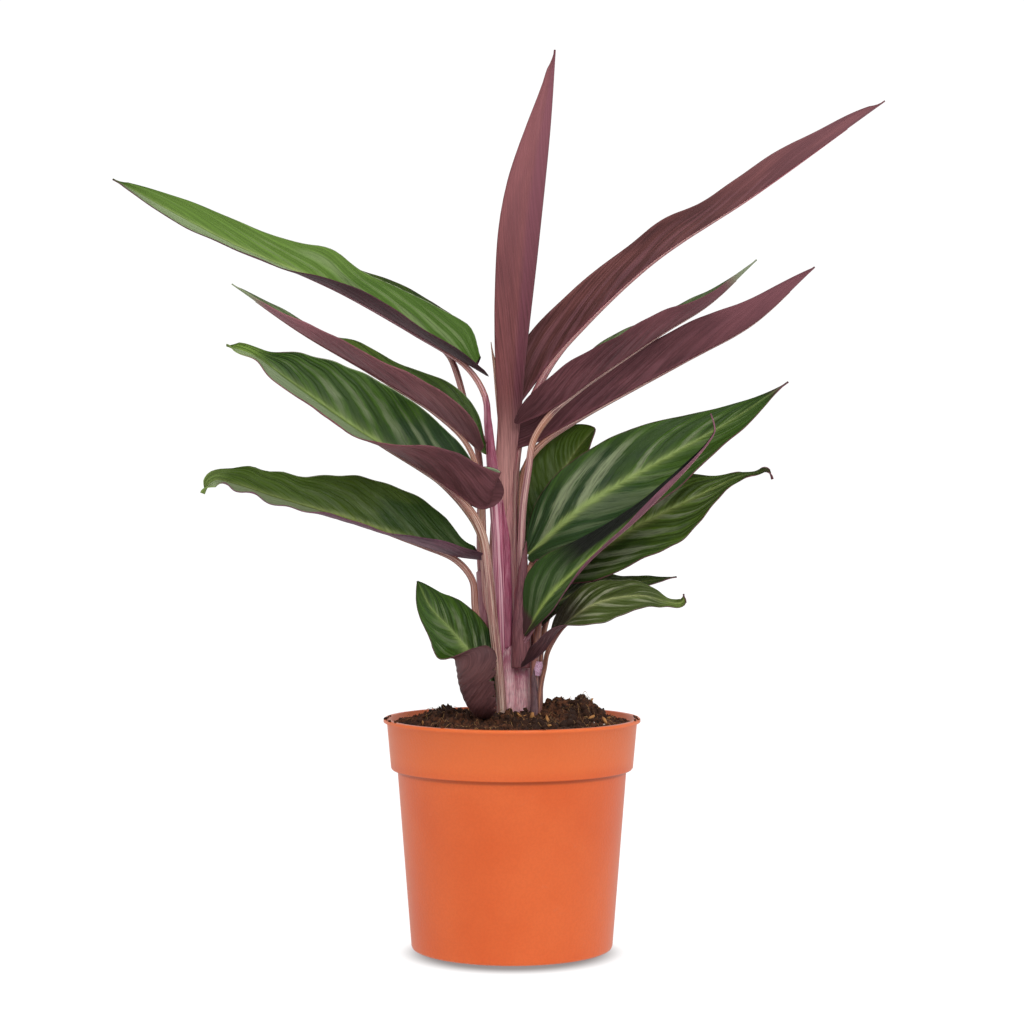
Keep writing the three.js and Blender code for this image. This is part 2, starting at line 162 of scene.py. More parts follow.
# What the camera sees of the floor is as white as the surround, except for the pot's soft contact shadow.
floor_finish, tree, shader = new_finish("pale floor")
shader.inputs["Base Color"].default_value = (FLOOR_GREY, FLOOR_GREY, FLOOR_GREY, 1)
shader.inputs["Roughness"].default_value = 0.9
shader.inputs["Specular IOR Level"].default_value = 0.1
shader.inputs["Emission Color"].default_value = (1, 1, 1, 1)
spread = add_node(tree, "ShaderNodeVectorMath", operation="DISTANCE")
spread.inputs[1].default_value = SHADOW_CENTRE
tree.links.new(own_place(tree), spread.inputs[0])
seen = between(tree, spread.outputs["Value"], *SHADOW_REACH, FLOOR_AT_POT, FLOOR_SEEN)
ray = add_node(tree, "ShaderNodeLightPath").outputs
plug(tree, shader.inputs["Emission Strength"], between(tree, ray["Is Camera Ray"], 0, 1, FLOOR_LIGHT, seen))
bm = bmesh.new()
bmesh.ops.create_grid(bm, x_segments=1, y_segments=1, size=FLOOR_SIZE)
floor = set_down("floor", bm, [floor_finish])
floor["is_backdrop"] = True


# Pot. One thin moulding in terracotta-coloured plastic, with a plain collar that a tray holds, a narrow lip,
# and a floor on a centre pad and a ring, with eight drain holes between them. The plastic is satin, faintly
# clouded by the moulding and a little scuffed.
MM = 0.001
POT_TURNS = 160
POT_WALL = 1.4
POT_PROFILE = [
    (0, 0), (12, 0), (13, 1.6), (40, 1.6), (41, 0), (45.6, 0), (46.6, 0.4), (47, 1.4),
    (53.4, 82.2), (54.1, 83.1), (56, 83.5), (56.5, 84.2), (58.4, 105), (60, 105.5), (60, 106.6),
    (59.5, 107), (58.4 - POT_WALL, 106.9), (56 - POT_WALL, 84.9), (53.5 - POT_WALL, 84.4),
    (47 - POT_WALL, 3.2), (0, 3.2),
]
DRAIN_HOLES = 8
DRAIN_RADIUS = 4
DRAIN_RING = 28


def paint(colour):
    """A colour given as red, green and blue screen values from 0 to 255, as the light it stands for."""
    light = [(c / 255 / 12.92) if c <= 10 else ((c / 255 + 0.055) / 1.055) ** 2.4 for c in colour]
    return (*light, 1)


def faded(colour, share):
    return tuple(share * c for c in colour)


def reckon(tree, operation, *values):
    node = add_node(tree, "ShaderNodeMath", operation=operation)
    for socket, value in zip(node.inputs, values):
        plug(tree, socket, value)
    return node.outputs[0]


def plus(tree, first, second):
    return reckon(tree, "ADD", first, second)


def minus(tree, first, second):
    return reckon(tree, "SUBTRACT", first, second)


def times(tree, first, second):
    return reckon(tree, "MULTIPLY", first, second)


def dye(tree, factor, first, second):
    """A colour mixed from the first to the second by the factor. Each is an output or three screen values."""
    node = add_node(tree, "ShaderNodeMix", data_type="RGBA")
    plug(tree, node.inputs[0], factor)
    for socket, colour in ((node.inputs[6], first), (node.inputs[7], second)):
        plug(tree, socket, paint(colour) if isinstance(colour, tuple) else colour)
    return node.outputs[2]


def spot(tree, x, y, z):
    node = add_node(tree, "ShaderNodeCombineXYZ")
    for socket, value in zip(node.inputs, (x, y, z)):
        plug(tree, socket, value)
    return node.outputs[0]


def mottle(tree, place, scale, detail=2.0, roughness=0.5, warp=0.0):
    node = add_node(tree, "ShaderNodeTexNoise")
    plug(tree, node.inputs["Vector"], place)
    node.inputs["Scale"].default_value = scale
    node.inputs["Detail"].default_value = detail
    node.inputs["Roughness"].default_value = roughness
    node.inputs["Distortion"].default_value = warp
    return node.outputs["Fac"]


def emboss(tree, shader, height, depth):
    """Raises the surface in the shading by the height, up to the depth in metres."""
    node = add_node(tree, "ShaderNodeBump")
    node.inputs["Strength"].default_value = 1.0
    node.inputs["Distance"].default_value = depth
    plug(tree, node.inputs["Height"], height)
    tree.links.new(node.outputs["Normal"], shader.inputs["Normal"])


def lay_in(name, bm, finishes, slot, *nodes):
    """Makes the finished piece of a bmesh, rides it on the body and lets it stand for its CAD nodes."""
    piece = set_down(name, bm, finishes)
    piece.data.shade_smooth()
    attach(piece, "root")
    if nodes:
        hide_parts(*nodes)
    return piece


plastic, tree, shader = new_finish("satin terracotta plastic")
place = own_place(tree)
cloud = mottle(tree, place, 22, 3)
speckle = mottle(tree, place, 900, 2)
scuff = between(tree, mottle(tree, place, 140, 5, 0.7, 1.0), 0.62, 0.78)
colour = dye(tree, between(tree, cloud, 0.3, 0.7), (236, 104, 46), (243, 114, 56))
colour = dye(tree, times(tree, scuff, 0.25), colour, (236, 140, 104))
colour = dye(tree, between(tree, speckle, 0.4, 0.6, 0, 0.12), colour, (212, 88, 42))
split = add_node(tree, "ShaderNodeSeparateXYZ")
tree.links.new(place, split.inputs[0])
height = reckon(tree, "DIVIDE", split.outputs[2], MM)
# A painted highlight makes the collar a little brighter than the wall, and painted shade darkens the step
# under it.
colour = dye(tree, between(tree, height, 84, 90, 0, 0.4), colour, (255, 130, 66))
collar_step_shadow = times(tree, between(tree, height, 81.2, 82.8), between(tree, height, 84, 83.4))
colour = dye(tree, times(tree, collar_step_shadow, 0.5), colour, (120, 50, 28))
tree.links.new(colour, shader.inputs["Base Color"])
tree.links.new(between(tree, scuff, 0, 1, 0.36, 0.5), shader.inputs["Roughness"])
shader.inputs["Specular IOR Level"].default_value = 0.32
shader.inputs["Subsurface Weight"].default_value = 0.12
shader.inputs["Subsurface Radius"].default_value = (0.004, 0.0015, 0.0008)
emboss(tree, shader, plus(tree, speckle, times(tree, cloud, 3)), 0.0001)

bm = bmesh.new()
corners = [bm.verts.new((r * MM, 0, z * MM)) for r, z in POT_PROFILE]
outline = [bm.edges.new(pair) for pair in zip(corners, corners[1:])]
turn = {"cent": (0, 0, 0), "axis": (0, 0, 1), "angle": math.tau, "steps": POT_TURNS, "use_merge": True}
bmesh.ops.spin(bm, geom=corners + outline, **turn)
bmesh.ops.remove_doubles(bm, verts=bm.verts, dist=0.00001)
bmesh.ops.recalc_face_normals(bm, faces=bm.faces)
pot = lay_in("pot_moulding", bm, [plastic], "pot", "pot")

bm = bmesh.new()
for i in range(DRAIN_HOLES):
    angle = (i + 0.5) / DRAIN_HOLES * math.tau
    x, y = DRAIN_RING * MM * math.cos(angle), DRAIN_RING * MM * math.sin(angle)
    peg = {"segments": 24, "radius1": DRAIN_RADIUS * MM, "radius2": DRAIN_RADIUS * MM, "depth": 0.02}
    bmesh.ops.create_cone(bm, cap_ends=True, matrix=Matrix.Translation((x, y, 0.002)), **peg)
drill = set_down("drill", bm)
holes = pot.modifiers.new("drain holes", "BOOLEAN")
holes.operation = "DIFFERENCE"
holes.object = drill
drilled = bpy.data.meshes.new_from_object(pot.evaluated_get(bpy.context.evaluated_depsgraph_get()))
pot.modifiers.clear()
pot.data = drilled
bpy.data.objects.remove(drill)


# Potting mix. Dark moist peat and coir that fills the pot to just under the rim, mounded round the stalks,
# with coarse lumps heaped on the right. Loose crumbs, pale fibres, bark chips and a few white grains lie on
# it, and some crumbs on the pot's rim.
SOIL_RADIUS = 56.4
SOIL_EDGE = 104.6
SOIL_CROWN = 4.4
SOIL_CELLS = 230
LUMPS = [(34, -4, 10, 6), (20, -7, 8, 5), (-33, 8, 4, 7), (-20, -24, 2.5, 6), (-2, -18, 2.5, 8)]
SKIRT = [(54.2, 85.2), (51.5, 84), (45.2, 3.6)]
SOIL_SEED = 7
FINE_CRUMBS = 1500
COARSE_CRUMBS = 260
FIBRES = 300
FIBRE_STEPS = 7
BARK_CHIPS = 46
WHITE_GRAINS = 16
RIM_TOP = 107.1
RIM_CRUMBS = [(-58.2, -4), (-57.6, 4), (-58.6, -9), (-57.8, -14), (57.8, -6), (58.4, -1), (57.6, 5),
              (58.6, -11), (-56.5, -18), (56.8, -16), (-52, -26), (14, -57.6), (-31, -49.4), (44, 38)]


def soil_height(x, y):
    """The height of the mix at (x, y), all in millimetres: the mound, its lumps and its crumbly relief."""
    share = min(1.0, math.hypot(x, y) / SOIL_RADIUS)
    height = SOIL_EDGE + SOIL_CROWN * (1 - share ** 2)
    for lump_x, lump_y, tall, wide in LUMPS:
        height += tall * math.exp(-((x - lump_x) ** 2 + (y - lump_y) ** 2) / (2 * wide ** 2))
    at = Vector((x, y, 0))
    coarse = noise.fractal(at * 0.16, 1.0, 2.0, 3)
    crumb = noise.turbulence(at * 0.42, 4, False, noise_basis="BLENDER")
    return height + (1.6 * coarse + 2.4 * (crumb - 0.5)) * (1 - 0.6 * share ** 6)


peat, tree, shader = new_finish("moist peat and coir")
place = own_place(tree)
grain = mottle(tree, place, 420, 6, 0.7)
patch = mottle(tree, place, 60, 4, 0.6)
colour = dye(tree, between(tree, grain, 0.35, 0.68), (30, 18, 13), (124, 76, 50))
colour = dye(tree, between(tree, patch, 0.42, 0.62), colour, (58, 36, 26))
flecks = between(tree, mottle(tree, place, 700, 3, 0.6), 0.66, 0.72)
colour = dye(tree, flecks, colour, (150, 108, 66))
tree.links.new(colour, shader.inputs["Base Color"])
shader.inputs["Roughness"].default_value = 0.85
shader.inputs["Specular IOR Level"].default_value = 0.3
emboss(tree, shader, grain, 0.0012)

bm = bmesh.new()
bmesh.ops.create_grid(bm, x_segments=SOIL_CELLS, y_segments=SOIL_CELLS, size=1)
bed_edge = [e for e in bm.edges if e.is_boundary]
for vert in bm.verts:
    x = vert.co.x * math.sqrt(1 - vert.co.y ** 2 / 2) * SOIL_RADIUS
    y = vert.co.y * math.sqrt(1 - vert.co.x ** 2 / 2) * SOIL_RADIUS
    vert.co = Vector((x, y, soil_height(x, y))) * MM
for radius, height in SKIRT:
    skirt = bmesh.ops.extrude_edge_only(bm, edges=bed_edge)["geom"]
    bed_edge = [e for e in skirt if isinstance(e, bmesh.types.BMEdge) and e.is_boundary]
    for vert in {v for e in bed_edge for v in e.verts}:
        reach = radius / (math.hypot(vert.co.x, vert.co.y) / MM)
        vert.co = (vert.co.x * reach, vert.co.y * reach, height * MM)
bmesh.ops.holes_fill(bm, edges=bed_edge, sides=0)
bmesh.ops.recalc_face_normals(bm, faces=bm.faces)
lay_in("potting_mix_bed", bm, [peat], "potting_mix", "potting_mix")

draw = random.Random(SOIL_SEED)


def on_the_bed(reach=0.97):
    """A random place on the mix, more often among the lumps on the right."""
    if draw.random() < 0.3:
        x, y = draw.gauss(26, 12), draw.gauss(-8, 12)
    else:
        radius, angle = SOIL_RADIUS * reach * math.sqrt(draw.random()), draw.uniform(0, math.tau)
        x, y = radius * math.cos(angle), radius * math.sin(angle)
    if math.hypot(x, y) > SOIL_RADIUS * reach:
        return on_the_bed(reach)
    return x, y


def draw_axis():
    return Vector((draw.gauss(0, 1), draw.gauss(0, 1), draw.gauss(0, 1))).normalized()


def rough_ball(bm, size, rounds=1, roughness=0.3, squash=1.0):
    """A little clod: an icosphere with its corners pushed about. Gives its corners."""
    lump = bmesh.ops.create_icosphere(bm, subdivisions=rounds, radius=size)["verts"]
    for vert in lump:
        vert.co *= 1 + draw.uniform(-roughness, roughness)
        vert.co.x *= squash
    return lump


def scatter_grains(bm, count, smallest, largest, squash, sunk, rounds=1, roughness=0.3):
    """Little clods laid on the mix, each turned its own way."""
    for _ in range(count):
        x, y = on_the_bed()
        size = draw.uniform(smallest, largest) * draw.uniform(0.6, 1)
        lump = rough_ball(bm, size, rounds, roughness, squash)
        spin = Matrix.Rotation(draw.uniform(0, math.tau), 4, draw_axis())
        lift = Matrix.Translation((x, y, soil_height(x, y) - sunk * size))
        bmesh.ops.transform(bm, verts=lump, matrix=Matrix.Scale(MM, 4) @ lift @ spin)


bm = bmesh.new()
scatter_grains(bm, FINE_CRUMBS, smallest=0.4, largest=1.3, squash=1.3, sunk=0.2)
scatter_grains(bm, COARSE_CRUMBS, smallest=1.2, largest=2.6, squash=1.25, sunk=0.3, rounds=2)
lay_in("soil_crumbs", bm, [peat], "potting_mix")

coir, tree, shader = new_finish("dry coir fibre")
place = own_place(tree)
colour = dye(tree, mottle(tree, place, 90, 2), (120, 78, 44), (206, 160, 104))
tree.links.new(colour, shader.inputs["Base Color"])
shader.inputs["Roughness"].default_value = 0.7


def lay_fibre(bm, start, heading, length, thickness, bend, rise):
    """A thin curled fibre: a three-sided tube of a few steps, lying on or sticking out of the mix."""
    made = bmesh.ops.create_grid(bm, x_segments=3, y_segments=FIBRE_STEPS, size=0.5)["verts"]
    for vert in made:
        along = vert.co.y + 0.5
        angle = vert.co.x * math.tau
        turned = heading + bend * along
        x = start[0] + length * along * math.cos(turned)
        y = start[1] + length * along * math.sin(turned)
        z = soil_height(x, y) + 0.3 + rise * math.sin(math.pi * min(1, along * 1.2))
        radius = thickness * (1 - 0.6 * along)
        side = Vector((-math.sin(turned), math.cos(turned), 0)) * math.cos(angle)
        vert.co = (Vector((x, y, z)) + (side + Vector((0, 0, math.sin(angle)))) * radius) * MM
    bmesh.ops.remove_doubles(bm, verts=made, dist=0.00002)


bm = bmesh.new()
for _ in range(FIBRES):
    length = draw.uniform(3, 11)
    bend = draw.uniform(-1.4, 1.4)
    rise = max(0, draw.gauss(0.4, 0.9))
    start, heading, thickness = on_the_bed(0.9), draw.uniform(0, math.tau), draw.uniform(0.1, 0.2)
    lay_fibre(bm, start, heading, length, thickness, bend, rise)
bmesh.ops.recalc_face_normals(bm, faces=bm.faces)
lay_in("soil_fibres", bm, [coir], "potting_mix")

bark, tree, shader = new_finish("orange-tan bark")
place = own_place(tree)
streak = mottle(tree, place, 500, 3)
tree.links.new(dye(tree, streak, (150, 92, 44), (226, 164, 96)), shader.inputs["Base Color"])
shader.inputs["Roughness"].default_value = 0.65
bm = bmesh.new()
scatter_grains(bm, BARK_CHIPS, smallest=0.7, largest=1.5, squash=3.0, sunk=0.0)
lay_in("bark_chips", bm, [bark], "potting_mix")

chalk, tree, shader = new_finish("white mineral grain")
shader.inputs["Base Color"].default_value = paint((232, 226, 214))
shader.inputs["Roughness"].default_value = 0.8
bm = bmesh.new()
scatter_grains(bm, WHITE_GRAINS, smallest=0.35, largest=0.8, squash=1.1, sunk=0.1, rounds=2,
               roughness=0.15)
lay_in("white_grains", bm, [chalk], "potting_mix")

bm = bmesh.new()
for x, y in RIM_CRUMBS:
    for _ in range(3):
        spread_x, spread_y = x + draw.gauss(0, 0.7), y + draw.gauss(0, 1.6)
        size = draw.uniform(0.2, 0.6)
        lump = rough_ball(bm, size)
        lift = Matrix.Translation((spread_x, spread_y, RIM_TOP + size * 0.5))
        bmesh.ops.transform(bm, verts=lump, matrix=Matrix.Scale(MM, 4) @ lift)
lay_in("rim_crumbs", bm, [peat], "potting_mix")


# Leaves. Each is one thin blade folded along its midrib, glossy striped green above and maroon beneath, with
# its two halves at their own angles. Pale stripes leave the midrib and sweep to the tip. A blade follows its
# midrib line, and its halves rise from it by angles that are listed from base to tip.
LINE_SPAN = 60
ALONG = 150
ACROSS = 18
CROWDED_BASE = 1.3
THICK = 0.5
LEAST_HALF = 0.35
TIP_CLOSES = 28
LOBE_REACH = 0.14
NICKED_TO = 0.55
WAVES = 3
FRILLS = 9
PLEATS = 9
SWEEP = 0.36


class Line:
    """A smooth centripetal curve through the points, which are in millimetres, evenly spaced by length."""

    def __init__(self, points):
        marks = [Vector(p) for p in points]
        marks = [2 * marks[0] - marks[1], *marks, 2 * marks[-1] - marks[-2]]
        run = []
        for p0, p1, p2, p3 in zip(marks, marks[1:], marks[2:], marks[3:]):
            d0, d1, d2 = [math.sqrt((b - a).length) for a, b in ((p0, p1), (p1, p2), (p2, p3))]
            leave = ((p1 - p0) / d0 - (p2 - p0) / (d0 + d1) + (p2 - p1) / d1) * d1
            arrive = ((p2 - p1) / d1 - (p3 - p1) / (d1 + d2) + (p3 - p2) / d2) * d1
            for i in range(LINE_SPAN):
                t = i / LINE_SPAN
                bend = (-3 * p1 + 3 * p2 - 2 * leave - arrive) * t ** 2
                run.append(p1 + leave * t + bend + (2 * p1 - 2 * p2 + leave + arrive) * t ** 3)
        run.append(marks[-2])
        self.run = run
        self.reach = [0.0]
        for a, b in zip(run, run[1:]):
            self.reach.append(self.reach[-1] + (b - a).length)

    def at(self, t):
        goal = max(0.0, min(1.0, t)) * self.reach[-1]
        low, high = 0, len(self.reach) - 1
        while high - low > 1:
            middle = (low + high) // 2
            if self.reach[middle] <= goal:
                low = middle
            else:
                high = middle
        share = (goal - self.reach[low]) / (self.reach[high] - self.reach[low])
        return self.run[low].lerp(self.run[high], share)

    def way(self, t):
        low, high = max(0.0, t - 0.004), min(1.0, t + 0.004)
        return (self.at(high) - self.at(low)).normalized()


def listed(values, t):
    """The value at t of a list of values that are evenly spaced."""
    place = max(0.0, min(1.0, t)) * (len(values) - 1)
    i = min(int(place), len(values) - 2)
    return values[i] + (values[i + 1] - values[i]) * (place - i)


def eased(values, t):
    """As listed, but with the corners between the values rounded off."""
    reach = min(0.06, 0.6 / (len(values) - 1))
    return sum(listed(values, t + reach * step) for step in (-1, -0.5, 0, 0.5, 1)) / 5


blades = {}


class Blade:
    """One leaf's shape: gives the point of its upper face at t along and side share s across."""

    def __init__(self, spine, width, near, far, near_share=1, near_curl=(24, 24), far_curl=(24, 24),
                 broad=0.4, taper=1.25, start=0, wave=1, phase=0, lobe=2, nick=0, sweep=0.2, widths=None,
                 late=(0, 0), frill=0):
        self.line = Line(spine)
        self.side = 1 if spine[-1][0] < spine[0][0] else -1
        shares = near_share if isinstance(near_share, list) else [near_share, near_share]
        self.halves = {1: (width, shares, near, near_curl), -1: (width, [1, 1], far, far_curl)}
        self.broad, self.taper, self.start = broad, taper, start
        self.wave, self.phase, self.frill = wave, phase, frill
        self.lobe = {1: lobe[0], -1: lobe[1]} if isinstance(lobe, tuple) else {1: lobe, -1: lobe}
        self.nick, self.sweep, self.widths = nick, sweep, widths
        self.late = {1: late[0], -1: late[1]}

    def half_width(self, t):
        if self.widths:
            return eased(self.widths, t) * min(1.0, (1 - t) * TIP_CLOSES)
        if t < self.broad:
            share = math.sqrt(max(0.0, 1 - (1 - t / self.broad) ** 3))
        else:
            share = max(0.0, 1 - ((t - self.broad) / (1 - self.broad)) ** 1.7) ** self.taper
        return max(share, self.start * (1 - 2 * t))

    def axes(self, t):
        way = self.line.way(t)
        level = (Vector((0, -1, 0)) + way * way.y).normalized()
        return way, level, way.cross(level) * self.side

    def point(self, t, s, sign):
        half, shares, angles, curls = self.halves[sign]
        way, level, up = self.axes(t)
        begun = (t - self.late[sign]) / (1 - self.late[sign])
        w = max(half * eased(shares, t) * self.half_width(begun), LEAST_HALF) if begun >= 0 else LEAST_HALF
        bitten = noise.noise(Vector((t * 38, sign, 3))) + 0.6 * noise.noise(Vector((t * 90, sign, 9)))
        trim = 1 - self.nick * max(0, bitten) * (sign > 0) * (t < NICKED_TO) * s ** 6
        w *= 1 + 0.012 * noise.noise(Vector((t * 14, sign * 3, self.phase * 10)))
        w *= 1 + 0.06 * self.frill * t ** 3 * math.sin(math.tau * (FRILLS * t + 0.3 * sign) + 1.5)
        curl = math.radians(eased(curls, t))
        first = math.radians(eased(angles, t)) - curl / 2
        angle = first + curl * s * trim
        bell = math.sin(math.pi * t)
        ripple = self.wave * s ** 2 * bell * math.sin(math.tau * (WAVES * t + self.phase + 0.2 * sign))
        flutter = math.sin(math.tau * (WAVES * 2.7 * t + self.phase * 3 + 0.4 * sign))
        ripple += 0.22 * self.wave * s ** 3 * bell * flutter
        ripple += self.frill * s ** 2 * t ** 4 * math.sin(math.tau * (FRILLS * t + 0.3 * sign))
        pleat = math.sin(math.tau * PLEATS * 2 * (t - self.sweep * s))
        ripple += 0.16 * pleat * s * (1 - s) * 4 * bell
        out = w * (math.sin(angle) - math.sin(first)) / curl - ripple * math.sin(angle)
        lift = w * (math.cos(first) - math.cos(angle)) / curl + ripple * math.cos(angle)
        back = self.lobe[sign] * max(0, 1 - t / LOBE_REACH) ** 2 * math.sin(math.pi * s ** 0.7)
        return self.line.at(t) + level * sign * out + up * lift - way * back

    def beneath(self, t, depth):
        """The point under the midrib at t, at that depth in millimetres."""
        way, level, up = self.axes(t)
        near = math.radians(eased(self.halves[1][2], t))
        far = math.radians(eased(self.halves[-1][2], t))
        normal = level * (math.sin(far) - math.sin(near)) + up * (math.cos(far) + math.cos(near))
        return self.line.at(t) - normal.normalized() * depth


def open_group(title, **values):
    """A new node group with these inputs. Gives it, its inputs and the two directions of the piece's map."""
    group = bpy.data.node_groups.new(title, "ShaderNodeTree")
    for name, value in values.items():
        socket = group.interface.new_socket(name, in_out="INPUT", socket_type="NodeSocketFloat")
        socket.default_value = value
    split = add_node(group, "ShaderNodeSeparateXYZ")
    group.links.new(add_node(group, "ShaderNodeUVMap", uv_map="UVMap").outputs[0], split.inputs[0])
    return group, add_node(group, "NodeGroupInput").outputs, split.outputs[0], split.outputs[1]


def close_group(group, **results):
    """Gives the group its outputs."""
    for name in results:
        group.interface.new_socket(name, in_out="OUTPUT", socket_type="NodeSocketFloat")
    out = add_node(group, "NodeGroupOutput").inputs
    for name, value in results.items():
        group.links.new(value, out[name])


def use_group(tree, group, **values):
    node = add_node(tree, "ShaderNodeGroup", node_tree=group)
    for name, value in values.items():
        node.inputs[name].default_value = value
    return node.outputs


def swing(tree, value, amount):
    """A noise that swings to both sides of nothing by the amount."""
    return times(tree, minus(tree, value, 0.5), amount)


def stripe_markings():
    """The shared pattern of a blade: how far across and along, its stripes, fine veins, midrib and edge."""
    group, into, side, along = open_group("stripestar markings", Stripes=9.0, Rag=0.25, Seed=0.0)
    across = times(group, reckon(group, "ABSOLUTE", minus(group, side, 0.5)), 2)
    seeded = plus(group, into["Seed"], times(group, reckon(group, "GREATER_THAN", side, 0.5), 5))
    bow = times(group, across, plus(group, times(group, across, 0.45), 0.55))
    sway = mottle(group, spot(group, times(group, across, 2.5), along, seeded), 4, 2)
    swept = plus(group, minus(group, along, times(group, bow, SWEEP)), swing(group, sway, 0.016))
    # The veins run too close together near the tip to show there.
    calm = between(group, along, 0.4, 0.9, 1, 0.15)
    streak_place = spot(group, times(group, swept, 64), times(group, across, 4), seeded)
    streak = plus(group, swing(group, mottle(group, streak_place, 1, 3, 0.6), calm), 0.5)
    drift = mottle(group, spot(group, times(group, swept, 5), seeded, 0.5), 1, 1)
    count = plus(group, times(group, swept, into["Stripes"]), times(group, drift, 1.6))
    band = reckon(group, "SINE", times(group, count, math.tau))
    band = plus(group, band, swing(group, streak, times(group, into["Rag"], 10)))
    # A gate lets some stripes through bright, most of them between the midrib and the edge.
    bright = mottle(group, spot(group, times(group, along, 5), times(group, across, 2), seeded), 1, 2)
    gate = times(group, reckon(group, "ABSOLUTE", minus(group, across, 0.4)), 1.3)
    gate = plus(group, gate, times(group, minus(group, 0.5, bright), 3.2))
    gate = plus(group, gate, between(group, along, 0.25, 0.9))
    stripe = between(group, minus(group, band, gate), -0.7, 0.7)
    fade = times(group, between(group, along, 0.02, 0.1), between(group, along, 1.0, 0.6, 0.1, 1.0))
    fade = times(group, fade, between(group, across, 0.97, 0.62))
    pleats = plus(group, reckon(group, "SINE", times(group, count, math.tau * 3)), swing(group, streak, 3))
    rib_width = plus(group, between(group, along, 0, 1, 0.07, -0.01), swing(group, streak, 0.2))
    close_group(
        group,
        Stripe=times(group, stripe, fade),
        Band=between(group, plus(group, band, 0.3), -0.9, 1.2),
        Pleats=between(group, pleats, -0.8, 1.2),
        Veins=streak,
        Midrib=between(group, minus(group, across, rib_width), 0.08, -0.06),
        Edge=between(group, across, 0.975, 0.995),
        Cloud=mottle(group, spot(group, times(group, across, 2), times(group, along, 6), seeded), 1, 3),
        Along=along,
        Across=across,
        Side=side,
    )
    return group


markings = stripe_markings()


def green_face(name, colours, seed, strength=1.0, near=0.5, bands=0.55, stripes=9, rag=0.25, tip=None,
               tip_at=0.93, margin=(96, 66, 62), far_half_shadow=0.0, near_half_sheen=0.0, fine=1.0, base=None, base_at=0.05):
    """The upper face of a leaf: two greens, paler feathered stripes, a yellow-green midrib and fine veins."""
    finish, tree, shader = new_finish(name)
    part = use_group(tree, markings, Stripes=stripes, Rag=rag, Seed=seed)
    ground, shade, stripe, rib = colours
    tone = plus(tree, part["Cloud"], between(tree, part["Along"], 0.1, 0.6, -0.2, 0.2))
    colour = dye(tree, between(tree, tone, 0.35, 0.65), ground, shade)
    dark = faded(ground, 0.62)
    if tip:
        colour = dye(tree, between(tree, part["Along"], tip_at - 0.05, tip_at + 0.05), colour, tip)
    half = between(tree, part["Side"], 0.47, 0.53, near, 1)
    dim = times(tree, between(tree, part["Band"], 0.6, 0.0, 0, bands), half)
    colour = dye(tree, dim, colour, dark)
    colour = dye(tree, between(tree, part["Pleats"], 0.7, 0.0, 0, 0.3 * fine), colour, dark)
    dull = faded(stripe, 0.84)
    pale = dye(tree, between(tree, part["Veins"], 0.35, 0.65), stripe, dull)
    feather = times(tree, times(tree, part["Stripe"], strength), half)
    colour = dye(tree, feather, colour, pale)
    colour = dye(tree, between(tree, part["Veins"], 0.52, 0.72, 0, 0.5 * fine), colour, dark)
    colour = dye(tree, between(tree, part["Across"], 0.24, 0.0, 0, 0.22), colour, rib)
    colour = dye(tree, times(tree, part["Midrib"], 0.8), colour, rib)
    edge = times(tree, part["Edge"], between(tree, part["Along"], 0.9, 0.7, 0, 0.7))
    colour = dye(tree, edge, colour, margin)
    # A painted shadow, nearly black, darkens the outer far half from a fifth to two fifths along, where
    # leaves above shade it.
    if far_half_shadow:
        shadow_mask = times(tree, between(tree, part["Side"], 0.6, 0.72), far_half_shadow)
        shadow_mask = times(tree, shadow_mask, between(tree, part["Along"], 0.2, 0.38))
        colour = dye(tree, shadow_mask, colour, (14, 18, 9))
    # The base darkens towards the given colour, more on the far half; on right 8 this is a painted shadow.
    if base:
        low = between(tree, part["Along"], base_at * 1.25, base_at * 0.75)
        low = times(tree, low, between(tree, part["Side"], 0.47, 0.53, 0.4, 0.95))
        colour = dye(tree, low, colour, base)
    # A painted sheen lightens the near half, standing in for the surround's reflection at a grazing angle.
    if near_half_sheen:
        colour = dye(tree, between(tree, part["Side"], 0.48, 0.42, 0, near_half_sheen), colour, (184, 198, 160))
    tree.links.new(colour, shader.inputs["Base Color"])
    tree.links.new(between(tree, part["Veins"], 0.3, 0.7, 0.36, 0.5), shader.inputs["Roughness"])
    shader.inputs["Specular IOR Level"].default_value = 0.22
    height = plus(tree, part["Veins"], times(tree, part["Pleats"], 0.8))
    height = plus(tree, height, times(tree, part["Midrib"], -1.5))
    emboss(tree, shader, height, 0.00025)
    return finish


